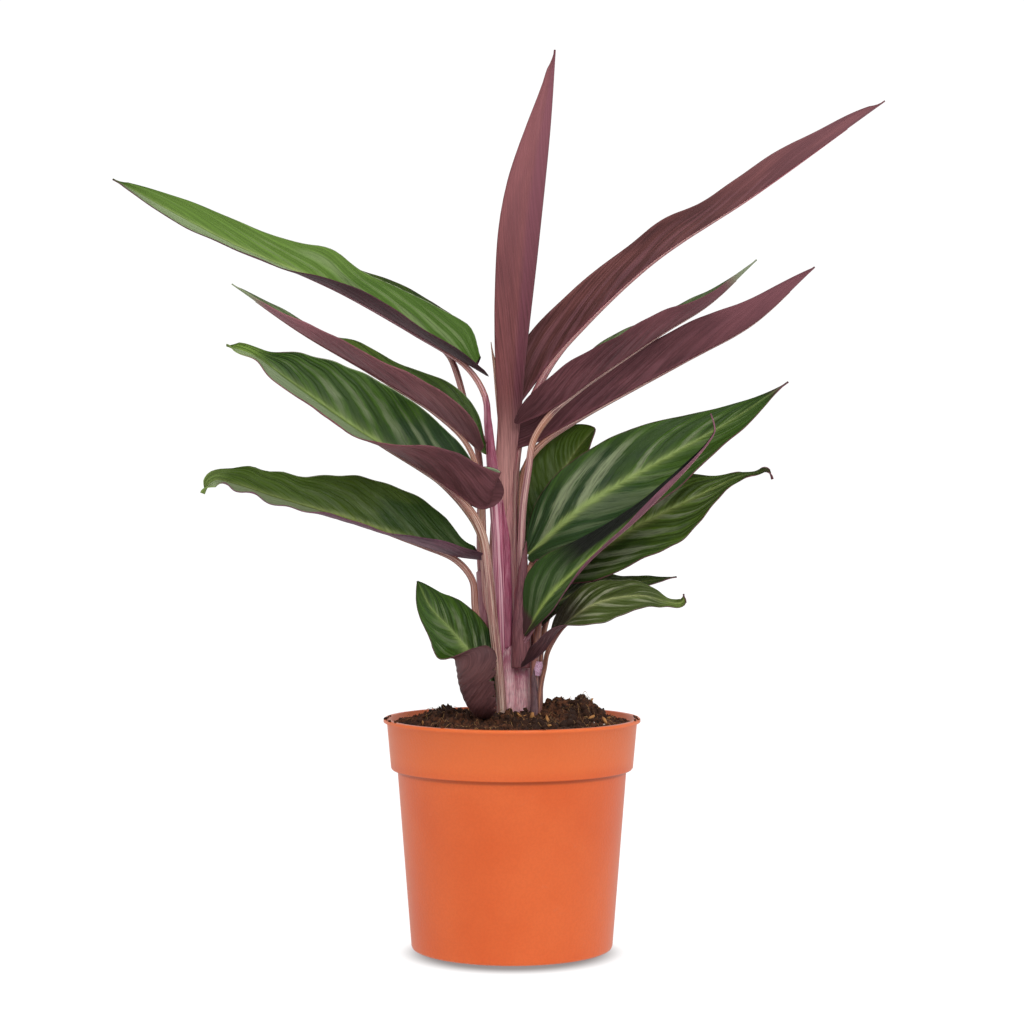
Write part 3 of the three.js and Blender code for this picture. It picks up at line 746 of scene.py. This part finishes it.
def maroon_face(name, colours, seed, inner=None, base=None, strength=0.5, stripes=9, tip=None, tip_at=0.9):
    """The underside of a leaf: dusty maroon with fine veins, darker at the base, pink on the midrib."""
    finish, tree, shader = new_finish(name)
    part = use_group(tree, markings, Stripes=stripes, Rag=0.12, Seed=seed)
    ground, shade, line = colours
    colour = dye(tree, between(tree, part["Cloud"], 0.35, 0.65), ground, shade)
    if inner:
        colour = dye(tree, between(tree, part["Across"], 0.5, 0.3), colour, inner)
    deep = faded(shade, 0.7)
    if base:
        colour = dye(tree, between(tree, part["Along"], 0.42, 0.24), colour, base)
    else:
        colour = dye(tree, between(tree, part["Along"], 0.24, 0.0, 0, 0.5), colour, deep)
    colour = dye(tree, between(tree, part["Pleats"], 0.8, 0.0, 0, 0.18), colour, deep)
    colour = dye(tree, between(tree, part["Veins"], 0.5, 0.64, 0, 0.55), colour, deep)
    colour = dye(tree, between(tree, part["Along"], 0.45, 1, 0, 0.35), colour, line)
    colour = dye(tree, between(tree, part["Veins"], 0.46, 0.28, 0, 0.35), colour, line)
    colour = dye(tree, times(tree, part["Stripe"], strength * 0.4), colour, line)
    colour = dye(tree, times(tree, part["Midrib"], 0.5), colour, line)
    if tip:
        colour = dye(tree, between(tree, part["Along"], tip_at - 0.06, tip_at + 0.04), colour, tip)
    tree.links.new(colour, shader.inputs["Base Color"])
    shader.inputs["Roughness"].default_value = 0.55
    shader.inputs["Specular IOR Level"].default_value = 0.2
    height = plus(tree, part["Veins"], times(tree, part["Pleats"], 0.5))
    emboss(tree, shader, height, 0.0002)
    return finish


def weave(columns, rows, chart, place):
    """A fine grid that is mapped by the chart and laid out by the place of x across and t along."""
    bm = bmesh.new()
    bmesh.ops.create_grid(bm, x_segments=columns, y_segments=rows, size=0.5)
    marks = bm.loops.layers.uv.new("UVMap")
    for face in bm.faces:
        for loop in face.loops:
            loop[marks].uv = chart(loop.vert.co.x, loop.vert.co.y + 0.5)
    for vert in bm.verts:
        vert.co = place(vert.co.x, vert.co.y + 0.5) * MM
    return bm


def thicken(piece, wall, offset):
    layer = piece.modifiers.new("thickness", "SOLIDIFY")
    layer.thickness = wall * MM
    layer.offset = offset
    return layer


def grow_leaf(node, slot, upper, under, **shape):
    """A leaf's blade. Its faces take their names from the leaf and their seed from its place in the list."""
    blade = Blade(**shape)
    blades[node] = blade
    title = node.removeprefix("leaf_").replace("_", " ")
    finishes = [
        green_face(title + " upper face", **{"seed": len(blades), **upper}),
        maroon_face(title + " underside", **{"seed": len(blades), **under}),
    ]

    def chart(x, t):
        return 0.5 + blade.side * x, t ** CROWDED_BASE

    def place(x, t):
        across = -blade.side * 2 * x
        return blade.point(t ** CROWDED_BASE, abs(across), 1 if across > 0 else -1)

    piece = lay_in(node + "_blade", weave(2 * ACROSS, ALONG, chart, place), finishes, slot, node)
    skin = thicken(piece, THICK, -1)
    skin.material_offset = 1
    skin.material_offset_rim = 1


# The colours that leaves share: of an upper face its ground, shade, stripe and midrib, and of an underside
# its ground, shade and veins.
BRIGHT = [(88, 124, 42), (108, 142, 56), (158, 178, 122), (166, 186, 112)]
DEEP = [(38, 68, 24), (60, 90, 20), (140, 152, 114), (150, 170, 96)]
OLIVE = [(46, 74, 16), (68, 92, 16), (108, 124, 82), (146, 160, 92)]
WINE = [(113, 65, 71), (94, 52, 58), (158, 102, 112)]
DUSK = [(106, 70, 74), (82, 54, 60), (136, 94, 100)]

grow_leaf(
    "leaf_spear", "leaf_maroon",
    upper=dict(colours=BRIGHT, stripes=12),
    under=dict(colours=[(138, 80, 80), (118, 66, 68), (160, 102, 112)], inner=(122, 68, 80),
               base=(218, 160, 154), stripes=12, strength=0),
    spine=[[-2.6, 3, 150], [-2.4, 2, 185], [0.6, 0.5, 222], [3.5, -0.5, 245], [6, -2, 274],
           [12, -4, 327.5], [17.5, -3, 382], [20, -1, 419]],
    width=22, widths=[0.42, 0.42, 0.42, 0.46, 0.6, 0.8, 0.95, 1, 0.78, 0.37, 0], lobe=0, sweep=0.3,
    wave=0.5, near=[78, 78, 74, 66, 66, 74, 80], far=[62, 62, 58, 50, 52, 60, 66],
    near_curl=[100, 100, 60, 50, 50], far_curl=[80, 80, 50, 40, 40],
)
grow_leaf(
    "leaf_right_1", "leaf_maroon",
    upper=dict(colours=DEEP),
    under=dict(colours=[(124, 74, 72), (98, 56, 56), (168, 112, 124)], stripes=10, strength=0.7),
    spine=[[4.5, 6, 255.5], [24, 14, 281], [66, 26, 322], [118, 36, 357], [181.5, 46, 403]],
    width=20,
    widths=[0.5, 0.82, 0.93, 0.98, 1, 1, 0.98, 0.84, 0.9, 1.03, 0.86, 0.76, 0.75, 0.74, 0.72, 0.7, 0.56,
            0.42, 0.33, 0.19, 0],
    near=[70, 46, 40, 48, 66], far=[34, 28, 24, 24, 30], sweep=0.3,
)
grow_leaf(
    "leaf_right_2", "leaf_maroon",
    upper=dict(colours=[(92, 114, 66), (112, 130, 84), (150, 160, 130), (170, 180, 140)]),
    under=dict(colours=WINE, tip=(150, 160, 128)),
    spine=[[3.5, -9, 244.5], [17.5, -11, 250.5], [36, -15, 263.5], [68, -20, 285], [90.5, -22, 299],
           [112, -22, 319]],
    width=18, start=0.25, near=[60, 40, 32, 30], far=[50, 42, 38, 48], wave=1.2, phase=0.2,
)
grow_leaf(
    "leaf_right_3", "leaf_maroon",
    upper=dict(colours=DEEP),
    under=dict(colours=WINE),
    spine=[[3.4, 4, 233.5], [12.5, 5, 236.5], [38, 7, 251], [83.5, 10, 275.5], [113.5, 10, 292],
           [142.5, 8, 318.5]],
    width=19, broad=0.5, taper=1, start=0.75, lobe=4, near=[70, 48, 60, 74], far=[60, 52, 40, 40],
    sweep=0.25,
)
grow_leaf(
    "leaf_right_4", "leaf_bright",
    upper=dict(colours=DEEP, strength=0.95, near=0.3, stripes=6, rag=0.35, seed=5.3, tip=(134, 92, 98),
               tip_at=0.95),
    under=dict(colours=WINE),
    spine=[[8, -8, 184], [33, -14, 206], [66.5, -20, 226], [100, -20, 245], [127.5, -14, 263.5]],
    width=22, near_share=1.02, broad=0.38, taper=1.5, start=0.35, near=[-30, -50, -44, -40, -60],
    far=[48, 70, 72, 62, 46], wave=0.8,
)
grow_leaf(
    "leaf_right_5", "leaf_dark",
    upper=dict(colours=OLIVE, strength=0.3, bands=0.12, stripes=5, fine=0.4),
    under=dict(colours=DUSK),
    spine=[[9.5, 2.5, 186], [15.5, 9, 203], [23, 11, 220], [31, 11, 233], [39, 8, 242.5]],
    width=19, broad=0.5, taper=0.6, near=[-30, -30, -20], far=[40, 74, 80, 70],
)
grow_leaf(
    "leaf_right_6", "leaf_bright",
    upper=dict(colours=[(60, 86, 32), (78, 104, 30), (148, 158, 126), (164, 182, 104)], strength=0.9,
               near=0.8, bands=0.6, stripes=7, seed=7.1, tip=(92, 60, 62), tip_at=0.95),
    under=dict(colours=WINE),
    spine=[[18, -4, 170.5], [36, -8, 183], [59.5, -10, 197.5], [88, -8, 211.5], [105.5, -5, 219.6],
           [114, -4, 221.4], [117.8, -4, 222.9], [120, -4, 221.8], [121.3, -4, 218.4]],
    width=24, near_share=0.83, widths=[0, 0.66, 0.9, 1, 1, 0.92, 0.76, 0.4, 0.1, 0.06, 0.02], frill=1,
    near=[-34, -40, -54, -54, -40], far=[70, 76, 74, 56],
)
# A painted shadow darkens the outer far half of this leaf near its base.
grow_leaf(
    "leaf_right_7", "leaf_dark",
    upper=dict(colours=[(52, 82, 26), (72, 100, 26), (140, 152, 116), (160, 182, 94)], strength=0.3,
               bands=0.3, stripes=8, far_half_shadow=1.0, base=(84, 52, 56), base_at=0.06),
    under=dict(colours=[(138, 88, 104), (112, 68, 82), (168, 116, 130)]),
    spine=[[6, -14, 147], [17, -26, 164.5], [34, -40, 182], [61, -49, 206], [90, -52, 239],
           [89.8, -52, 243], [88.4, -52, 247.4]],
    width=17.5, near_share=[0.5, 0.51, 0.5, 0.59, 0.7, 0.75, 0.72, 0.66, 0.6, 0.58, 0.58], lobe=1,
    widths=[0, 0.82, 1.04, 0.8, 0.56, 0.42, 0.34, 0.26, 0.15, 0.04, 0.03], near=[-35, -30, 0, 25, 40, 40],
    far=[50, 66, 60, 52, 38, 30], near_curl=[40, 60], wave=0.6,
)
# A painted shadow darkens this leaf's base, where the leaves above shade it.
grow_leaf(
    "leaf_right_8", "leaf_bright",
    upper=dict(colours=[(104, 124, 48), (76, 92, 38), (196, 200, 164), (196, 204, 138)], bands=0.65,
               strength=1.1, stripes=7, seed=9.4, base=(50, 44, 30), base_at=0.42, tip=(132, 154, 70),
               tip_at=0.86, margin=(170, 176, 140)),
    under=dict(colours=DUSK),
    spine=[[6, -17, 133], [14.5, -21, 139.5], [23, -25, 151], [38.5, -31, 162], [58, -31, 165.4],
           [69, -28, 163], [76, -26, 161.8], [78, -26, 162.8], [78.2, -26, 166]],
    width=13, widths=[0, 0.7, 0.92, 1, 1, 0.96, 0.9, 0.72, 0.28, 0.2, 0.1], frill=0.8,
    near=[58, 26, -40, -50, -50], far=[75, 46, 44, 40, 40], late=(0, 0.2),
)
grow_leaf(
    "leaf_right_9", "leaf_dark",
    upper=dict(colours=OLIVE, strength=0.6),
    under=dict(colours=DUSK),
    spine=[[13, -5, 151], [20.5, -6, 160.5], [36.5, -5, 168], [56, -3, 170], [77, 0, 173]],
    width=8, near=[-20, -30, -20], far=[44, 48, 40],
)
# A painted sheen lightens this leaf's near half.
grow_leaf(
    "leaf_left_1", "leaf_bright",
    upper=dict(colours=BRIGHT, strength=0.55, bands=0.18, stripes=9, seed=11.4, margin=(186, 198, 160),
               near_half_sheen=0.5),
    under=dict(colours=[(92, 56, 64), (76, 46, 54), (120, 76, 86)]),
    spine=[[-12.5, -3, 267.5], [-40, 4, 284], [-81.5, 9, 307.5], [-131, 10, 329.5], [-188, 8, 360]],
    width=20.4,
    widths=[0.2, 0.9, 0.95, 0.93, 0.92, 0.9, 0.86, 0.78, 0.84, 1.06, 0.84, 0.76, 0.74, 0.72, 0.66, 0.6,
            0.52, 0.42, 0.31, 0.17, 0],
    near_share=0.7, near=[16, 12, 17, 25, 13, 2, -11, -22, -27, -30, -30], far=[62, 58, 54, 58],
    late=(0, 0.035),
)
grow_leaf(
    "leaf_left_2", "leaf_dark",
    upper=dict(colours=OLIVE, strength=0.5),
    under=dict(colours=WINE),
    spine=[[-24, 14, 273.5], [-34.5, 22, 282.5], [-61, 34, 301], [-88, 40, 316], [-112.5, 42, 327]],
    width=17.5, widths=[0.3, 0.9, 1.05, 1.03, 0.97, 0.88, 0.78, 0.66, 0.5, 0.3, 0], near_share=0.5,
    near=[40, 50, 50], far=[58, 64, 60],
)
grow_leaf(
    "leaf_left_3", "leaf_dark",
    upper=dict(colours=[(62, 86, 24), (82, 104, 30), (120, 134, 90), (146, 160, 92)], strength=0.6,
               margin=(176, 186, 150), tip=(130, 148, 102), tip_at=0.62),
    under=dict(colours=[(156, 98, 104), (130, 80, 86), (178, 122, 132)], tip=(150, 162, 122)),
    spine=[[-15.5, -7, 232], [-33.5, -11, 248], [-63, -16, 266.5], [-97.5, -18, 286.5],
           [-129, -16, 308.5]],
    width=18,
    widths=[0.2, 0.6, 0.8, 0.93, 1, 1, 0.97, 0.92, 0.88, 0.84, 0.92, 1.02, 0.82, 0.74, 0.68, 0.62, 0.54,
            0.44, 0.32, 0.18, 0],
    near=[42, 28, 22, 8], far=[80, 44, 26, 24], lobe=(1, 5),
)
# A painted sheen lightens this leaf's near half.
grow_leaf(
    "leaf_left_4", "leaf_dark",
    upper=dict(colours=DEEP, strength=0.7, bands=0.5, stripes=8, seed=14.2, tip=(140, 174, 76),
               tip_at=0.9, margin=(176, 186, 150), near_half_sheen=0.5),
    under=dict(colours=[(136, 82, 88), (108, 64, 70), (154, 100, 110)], tip=(130, 150, 80), tip_at=0.93),
    spine=[[-8, -17.5, 206.5], [-14.5, -19, 205], [-37, -26, 220.5], [-66, -36, 238.5],
           [-99.5, -42, 262.5], [-117, -42, 274.6], [-128.5, -40, 278.5]],
    width=25, near_share=1.2,
    widths=[0.68, 0.8, 0.84, 0.88, 0.92, 0.96, 1, 1, 1, 0.98, 0.96, 0.92, 0.87, 0.79, 0.7, 0.6, 0.48,
            0.24, 0.13, 0.13, 0.09],
    near=[60, 32, -2, -14, -20], far=[30, 66, 82, 84, 84], wave=1.2, lobe=(5, 0), frill=0.9,
    late=(0, 0.06),
)
# A painted sheen lightens this leaf's near half.
grow_leaf(
    "leaf_left_5", "leaf_dark",
    upper=dict(colours=OLIVE, strength=0.35, near=0.8, bands=0.25, stripes=7, seed=15.6,
               tip=(134, 158, 84), margin=(176, 186, 150), near_half_sheen=0.5, fine=0.5),
    under=dict(colours=[(128, 84, 100), (92, 60, 74), (150, 106, 122)], tip=(134, 158, 84), tip_at=0.93),
    spine=[[-15.5, -11, 181.5], [-25.5, -15, 183], [-41, -20, 188], [-70.5, -26, 199], [-108, -28, 210.5],
           [-127, -26, 216.6], [-135.5, -25, 218], [-139, -25, 215.6], [-140.8, -25, 211.6]],
    width=21.5,
    widths=[0.3, 0.5, 0.76, 0.9, 0.98, 1.03, 1.04, 1.02, 1.01, 1, 0.94, 0.82, 0.7, 0.6, 0.5, 0.62, 0.34,
            0.54, 0.22, 0.2, 0.02],
    frill=2, near_share=[1.1, 1, 1, 1, 1], near=[24, 10, -2, -10, -24], late=(0, 0.012),
    far=[52, 70, 80, 80], wave=1.2, phase=0.5,
)
grow_leaf(
    "leaf_left_6", "leaf_dark",
    upper=dict(colours=DEEP, strength=0.7, stripes=7, seed=16.8),
    under=dict(colours=[(104, 67, 67), (86, 54, 56), (128, 88, 90)]),
    spine=[[-12, -20, 110.5], [-14.5, -24, 124], [-18.5, -27, 138], [-28, -29, 150], [-37, -30, 160],
           [-43, -30, 172]],
    width=20,
    near_share=[1.6, 1.7, 1.78, 1.8, 1.79, 1.82, 1.86, 2, 2.1, 1.95, 1.4, 0.9, 0.8, 0.72, 0.68, 0.64, 0.6,
                0.6, 0.6, 0.6, 0.6],
    broad=0.42, taper=0.85, far=[24, 28, 42, 56, 66],
    near=[20, 20, 20, 20, 20, 20, 20, 24, 27, 27, 12, -50, -58, -62, -64, -67, -70, -73, -76, -78, -80],
    wave=0.4,
    near_curl=[190, 195, 200, 205, 209, 205, 200, 195, 195, 190, 150, 60, 40, 24, 24, 24, 24, 24, 24, 24,
               24],
    nick=0.12,
)


# Stalks. Round, smooth leaf stalks that thicken to a tan joint just under the leaf and run on beneath it as
# its raised midrib. Each stands in its own hole in the potting mix, or on the sheath it grows out of.
STALK_ROUND = 20
STALK_STEPS = 90
RIBS = 0.03
SWELLING = 1.15
RADII_STEPS = 40
SOIL_FOOT = 101


def draw_rod(path, radii, seed=0, joint=0.5):
    """A round rod along the path, closed at its ends. Its own map has the joint halfway up."""
    line = Line(path)

    def chart(x, t):
        return x + 0.5, t / joint / 2 if t < joint else 1 - (1 - t) / (1 - joint) / 2

    def place(x, t):
        angle = x * math.tau
        way = line.way(t)
        right = Vector((0, -1, 0)).cross(way).normalized()
        front = way.cross(right)
        radius = eased(radii, t) * (1 + RIBS * math.sin(5 * angle + seed + 2 * t) * math.sin(math.pi * t))
        return line.at(t) + (right * math.cos(angle) + front * math.sin(angle)) * radius

    bm = weave(STALK_ROUND, STALK_STEPS, chart, place)
    bmesh.ops.remove_doubles(bm, verts=bm.verts, dist=0.00001)
    bmesh.ops.holes_fill(bm, edges=[e for e in bm.edges if e.is_boundary], sides=0)
    bmesh.ops.recalc_face_normals(bm, faces=bm.faces)
    return bm


def streak_lines():
    """Fine lines that run the length of a stalk or sheath, and soft patches along it."""
    group, into, around, along = open_group("stalk streaks", Lines=14.0, Slant=0.0, Seed=0.0)
    angle = times(group, plus(group, around, times(group, along, into["Slant"])), math.tau)
    cosine, sine = reckon(group, "COSINE", angle), reckon(group, "SINE", angle)
    wide = add_node(group, "ShaderNodeVectorMath", operation="SCALE")
    group.links.new(spot(group, cosine, sine, plus(group, into["Seed"], along)), wide.inputs[0])
    group.links.new(times(group, into["Lines"], 0.4), wide.inputs["Scale"])
    patch_place = spot(group, cosine, times(group, along, 7), into["Seed"])
    close_group(
        group,
        Streak=mottle(group, wide.outputs[0], 1, 3, 0.6),
        Patch=mottle(group, patch_place, 1, 2),
        Along=along,
    )
    return group


streaks = streak_lines()


def stalk_skin(name, colours, seed, turn_at=(0.6, 0.8), lines=14.0, slant=0.0, strength=0.8,
               under_leaf=(130, 78, 82), under_leaf_at=0.44):
    """A smooth skin that changes from the midrib's colour to the joint's and the foot's, with streaks."""
    finish, tree, shader = new_finish(name)
    part = use_group(tree, streaks, Lines=lines, Slant=slant, Seed=seed)
    top, foot, line = colours
    colour = dye(tree, between(tree, part["Along"], *turn_at), top, foot)
    if under_leaf:
        colour = dye(tree, between(tree, part["Along"], 0.51, under_leaf_at), colour, under_leaf)
    dull = faded(foot, 0.7)
    deep = (0.62 * foot[0], 0.5 * foot[1], 0.54 * foot[2])
    colour = dye(tree, between(tree, part["Patch"], 0.35, 0.7, 0, 0.4), colour, dull)
    colour = dye(tree, between(tree, part["Streak"], 0.51, 0.58, 0, strength), colour, line)
    colour = dye(tree, between(tree, part["Streak"], 0.47, 0.39, 0, strength), colour, deep)
    tree.links.new(colour, shader.inputs["Base Color"])
    shader.inputs["Roughness"].default_value = 0.4
    shader.inputs["Specular IOR Level"].default_value = 0.45
    shader.inputs["Subsurface Weight"].default_value = 0.08
    shader.inputs["Subsurface Radius"].default_value = (0.002, 0.0008, 0.0006)
    emboss(tree, shader, part["Streak"], 0.0002)
    return finish


def raise_stalk(node, path, radii, colours, joint=0, planted=True, rib=0.9, **looks):
    """A stalk from its foot to its joint, which then runs on beneath the leaf as the midrib."""
    leaf = node.replace("stalk", "leaf")
    title = node.removeprefix("stalk_").replace("_", " ") + " stalk"
    skin = stalk_skin(title, colours, list(blades).index(leaf), **looks)
    blade = blades[leaf]
    under = [(t / 100, 0.95 - 0.9 * t / 100) for t in range(90, 8, -7) if t / 100 > joint + 0.1]
    points = [blade.beneath(t, 0.6 * share * rib + THICK) for t, share in under]
    points.append(blade.beneath(max(joint, 0.03) + 0.02, radii[0] * SWELLING + THICK * 0.7))
    sizes = [rib * share for t, share in under] + [radii[0] * SWELLING]
    points += [Vector(p) for p in path]
    sizes += [listed(radii, (i + 1) / len(path)) for i in range(len(path))]
    if planted:
        points.append(Vector((points[-1].x, points[-1].y, SOIL_FOOT)))
        sizes.append(sizes[-1])
    line = Line(points)
    # The radii are given at the points, so they are spread evenly along the line's length first.
    last = len(line.reach) - 1
    reach = [line.reach[min(i * LINE_SPAN, last)] / line.reach[-1] for i in range(len(points))]
    even = []
    for k in range(RADII_STEPS + 1):
        goal = k / RADII_STEPS
        i = max(j for j in range(len(reach) - 1) if reach[j] <= goal + 1e-9)
        even.append(sizes[i] + (sizes[i + 1] - sizes[i]) * (goal - reach[i]) / (reach[i + 1] - reach[i]))
    rod = draw_rod(points, even, seed=len(node), joint=reach[len(under)])
    lay_in(node + "_rod", rod, [skin], "stalk", node)


# Each stalk's colours are those of its joint, its foot and its pale streaks.
TAN = (200, 136, 106)
ROSE = (186, 98, 126)
CREAM = (236, 200, 186)
raise_stalk("stalk_right_1", [[3.5, 8, 237], [1, 10.2, 195], [2.2, 9.6, 152.5], [3.3, 8.6, 112]],
            [1.7, 2, 2], [(186, 102, 112), (204, 142, 154), CREAM], under_leaf=(176, 92, 106), rib=1.1)
raise_stalk("stalk_right_2",
            [[10, -8, 236.5], [7.5, -8, 222.5], [5, -5, 204], [4, -2.5, 176], [3.2, -2, 131.4]],
            [1.5, 1.7, 1.7], [TAN, (190, 130, 136), CREAM], turn_at=(0.56, 0.62), under_leaf=(96, 58, 60),
            under_leaf_at=0.485, joint=0.09, planted=False)
raise_stalk("stalk_right_3", [[6, 4, 223], [5, 7, 190], [7.5, 6, 147.5], [8, 5.2, 112]], [1.5, 1.8],
            [TAN, (162, 106, 106), CREAM], joint=0.04)
raise_stalk("stalk_right_4", [[6.5, -7.5, 171.5], [6.2, -6.4, 153], [6.3, -5.3, 131.4]], [1.5, 1.5],
            [(174, 116, 98), (140, 88, 90), TAN], planted=False)
raise_stalk("stalk_right_5", [[9, 1.5, 162], [10.2, 0.4, 138.5], [10.2, 0.6, 112]], [1.3, 1.5],
            [(150, 98, 88), (128, 82, 84), TAN])
raise_stalk("stalk_right_6", [[13.5, -7, 157.5], [12, -9, 147], [10.5, -9.4, 130], [10.5, -9.4, 112]],
            [1.2, 1.6, 2], [(146, 98, 82), (174, 120, 116), TAN])
raise_stalk("stalk_right_7", [[4, -9.4, 139], [2.6, -6.8, 131.9]], [1.2, 1.3],
            [(174, 116, 128), (162, 104, 116), (220, 162, 174)], planted=False)
raise_stalk("stalk_right_8", [[15, -14.4, 131], [13.4, -13, 123], [12.8, -12.6, 112]], [1, 1.2],
            [(150, 104, 92), (140, 96, 90), TAN], joint=0.12)
raise_stalk("stalk_right_9", [[13.6, -4, 139], [13.2, -4.4, 112]], [1.2, 1.3],
            [(146, 98, 82), (140, 90, 88), TAN])
raise_stalk("stalk_left_1",
            [[-12.6, -3, 257], [-11.2, -4, 243], [-9, -5, 222.5], [-6.5, -5, 190], [-5, -5, 153],
             [-4, -4.4, 112]],
            [1.2, 1.5, 1.8, 2.8, 3, 3, 3], [TAN, ROSE, (244, 196, 206)], turn_at=(0.53, 0.57), joint=0.03)
raise_stalk("stalk_left_2",
            [[-20.5, 11, 248], [-15.5, 8, 228.5], [-14.5, 7, 174.5], [-8, 9.4, 140], [-2.4, 10.2, 120]],
            [1.4, 1.6, 1.9], [(174, 106, 100), (180, 112, 120), CREAM])
raise_stalk("stalk_left_3", [[-15, -6, 218], [-13.5, -2, 190], [-11.5, 4, 152.5], [-6.5, 8.6, 112]],
            [1.1, 1.7, 1.7], [TAN, (198, 128, 128), CREAM], joint=0.03)
raise_stalk("stalk_left_4",
            [[-14, -18, 193], [-11, -16, 175.5], [-9, -14, 154.5], [-6.5, -12, 133], [-4.7, -10.6, 112]],
            [2.2, 2.3], [(178, 120, 100), (190, 134, 126), (240, 212, 194)], lines=20,
            turn_at=(0.56, 0.62), joint=0.06, rib=1.1)
raise_stalk("stalk_left_5", [[-18.5, -12, 172], [-17, -9, 158], [-12.5, -4, 137], [-8.2, 0.2, 112]],
            [1.4, 1.7, 1.7], [(174, 114, 96), (198, 134, 126), CREAM], joint=0.06)
raise_stalk("stalk_left_6", [[-12, -19.4, 108.8]], [1.2, 1.5], [(198, 140, 150), (204, 144, 158), CREAM],
            rib=0.4)


# Sheaths. The foot of every leaf stalk is a thin sheath rolled round the younger ones, so that the middle of
# the clump looks like one pink-mauve stem with pointed, overlapping flaps.
SHEATH_ROUND = 28
SHEATH_STEPS = 60
SHEATH_WALL = 0.35
FLUTES = 9


def sheath_skin(name, colours, **looks):
    return stalk_skin(name, colours, under_leaf=None, **looks)


def roll_sheath(name, path, radii, opening, facing, skin, point=0.0):
    """A rolled sheath: an open tube whose gap faces the given way, with its rim drawn up to a point."""
    line = Line(path)

    def chart(x, t):
        return x + 0.5, t

    def place(x, t):
        cut = 1 - point * abs(2 * x) ** 1.4 * (1 - t) ** 2
        cut_t = 1 - (1 - t) * cut
        angle = math.radians(facing) + math.radians(x * (360 - opening))
        way = line.way(cut_t)
        side = (Vector((1, 0, 0)) - way * way.x).normalized()
        front = way.cross(side)
        radius = eased(radii, cut_t) * (1 + 0.02 * math.sin(FLUTES * angle))
        return line.at(cut_t) + (side * math.cos(angle) + front * math.sin(angle)) * radius

    bm = weave(SHEATH_ROUND, SHEATH_STEPS, chart, place)
    bmesh.ops.recalc_face_normals(bm, faces=bm.faces)
    thicken(lay_in(name, bm, [skin], "sheath"), SHEATH_WALL, 0)


stem_skin = sheath_skin("central stem", [(128, 72, 78), (220, 156, 156), (240, 190, 184)], seed=21,
                        turn_at=(0.1, 0.3), lines=26, slant=1.2, strength=0.35)
stem_path = [[-1.2, 1, 237.4], [-3, 2.6, 208.5], [-3.2, 3, 162], [-2.9, 3.4, 112], [-2.9, 3.4, SOIL_FOOT]]
stem = draw_rod(stem_path, [3, 3.6, 3.8, 4, 4, 4])
lay_in("stem_core", stem, [stem_skin], "sheath", "sheath_spear")
foot_skin = sheath_skin("pink foot", [(182, 102, 126), (240, 182, 190), (250, 226, 222)], seed=22,
                        turn_at=(0.05, 0.5), lines=18, strength=0.45)
foot = draw_rod([[4.3, -4.2, 132], [4.3, -4.2, 120], [4.3, -4.2, SOIL_FOOT]], [3.9, 4.1, 4.2])
lay_in("sheath_right_foot", foot, [foot_skin], "sheath", "sheath_right")

magenta = sheath_skin("magenta sheath", [(156, 62, 94), (182, 102, 126), (214, 146, 164)], seed=23,
                      turn_at=(0.6, 0.95), lines=24, strength=0.4)
dark_skin = sheath_skin("dark maroon sheath", [(112, 60, 70), (136, 82, 88), (174, 114, 116)], seed=24,
                        turn_at=(0.5, 1), lines=24, strength=0.35)
mauve = sheath_skin("mauve sheath", [(174, 118, 126), (156, 98, 110), (204, 154, 160)], seed=25,
                    turn_at=(0, 0.3), lines=24, strength=0.4)
roll_sheath("sheath_magenta", [[-3.4, -4.6, 209], [-2.9, -5, 190], [-2.6, -5, 165], [-2.4, -4.6, 140]],
            [1.2, 2.2, 2.6, 2.8], opening=60, facing=140, skin=magenta, point=0.4)
roll_sheath("sheath_rosy_tip",
            [[-11.6, -4.4, 258], [-11, -4.8, 251], [-10.3, -5.2, 240], [-9, -5.4, 222], [-7.9, -5.2, 209]],
            [0.3, 1.2, 1.9, 2.5, 3], opening=170, facing=110, skin=magenta, point=0.3)
roll_sheath("sheath_foot", [[-2.2, -4.4, 141], [-2.2, -4.6, 126], [-2, -4.4, SOIL_FOOT]],
            [3.4, 4.4, 4.7], opening=40, facing=60, skin=foot_skin, point=0.35)
roll_sheath("sheath_dark", [[6, -7.5, 190], [5, -8, 172], [4.4, -8.6, 150], [4.2, -8.6, 131]],
            [0.8, 2.6, 4.1, 4.3], opening=50, facing=50, skin=dark_skin, point=0.35)
roll_sheath("sheath_stub", [[-13.6, 5, 176], [-12.8, 5, 160], [-10, 6, 135], [-6, 7, SOIL_FOOT]],
            [3.1, 3.2, 3.5, 3.6], opening=30, facing=110, skin=mauve, point=0.06)
tan_skin = sheath_skin("tan flap", [(204, 146, 120), (186, 122, 112), CREAM], seed=26, lines=24)
roll_sheath("sheath_flap", [[-9.4, 3, 283], [-8.4, 3, 276], [-5.6, 2, 259], [-2.6, 1, 243]],
            [0.5, 1.2, 2.4, 3.6], opening=150, facing=150, skin=tan_skin, point=0.3)
low_skin = sheath_skin("low sheath", [(110, 78, 84), (96, 68, 72), (136, 100, 104)], seed=28, lines=20)
roll_sheath("sheath_low", [[9.6, -11.8, 131], [10, -11.6, 126], [10.8, -11.4, 116], [10.8, -11, SOIL_FOOT]],
            [0.6, 1.4, 2.6, 2.8], opening=60, facing=60, skin=low_skin, point=0.3)
lilac = sheath_skin("lilac flap", [(246, 186, 224), (226, 160, 200), (255, 230, 244)], seed=27, lines=20)
roll_sheath("sheath_lilac", [[12.6, -10.6, 134], [12.3, -10.6, 131], [11.8, -10.6, 127.5]],
            [1.2, 1.9, 1.8], opening=120, facing=90, skin=lilac)

size = {"cad": [list(corner) for corner in cad_box], "visual": [list(corner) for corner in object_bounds()]}
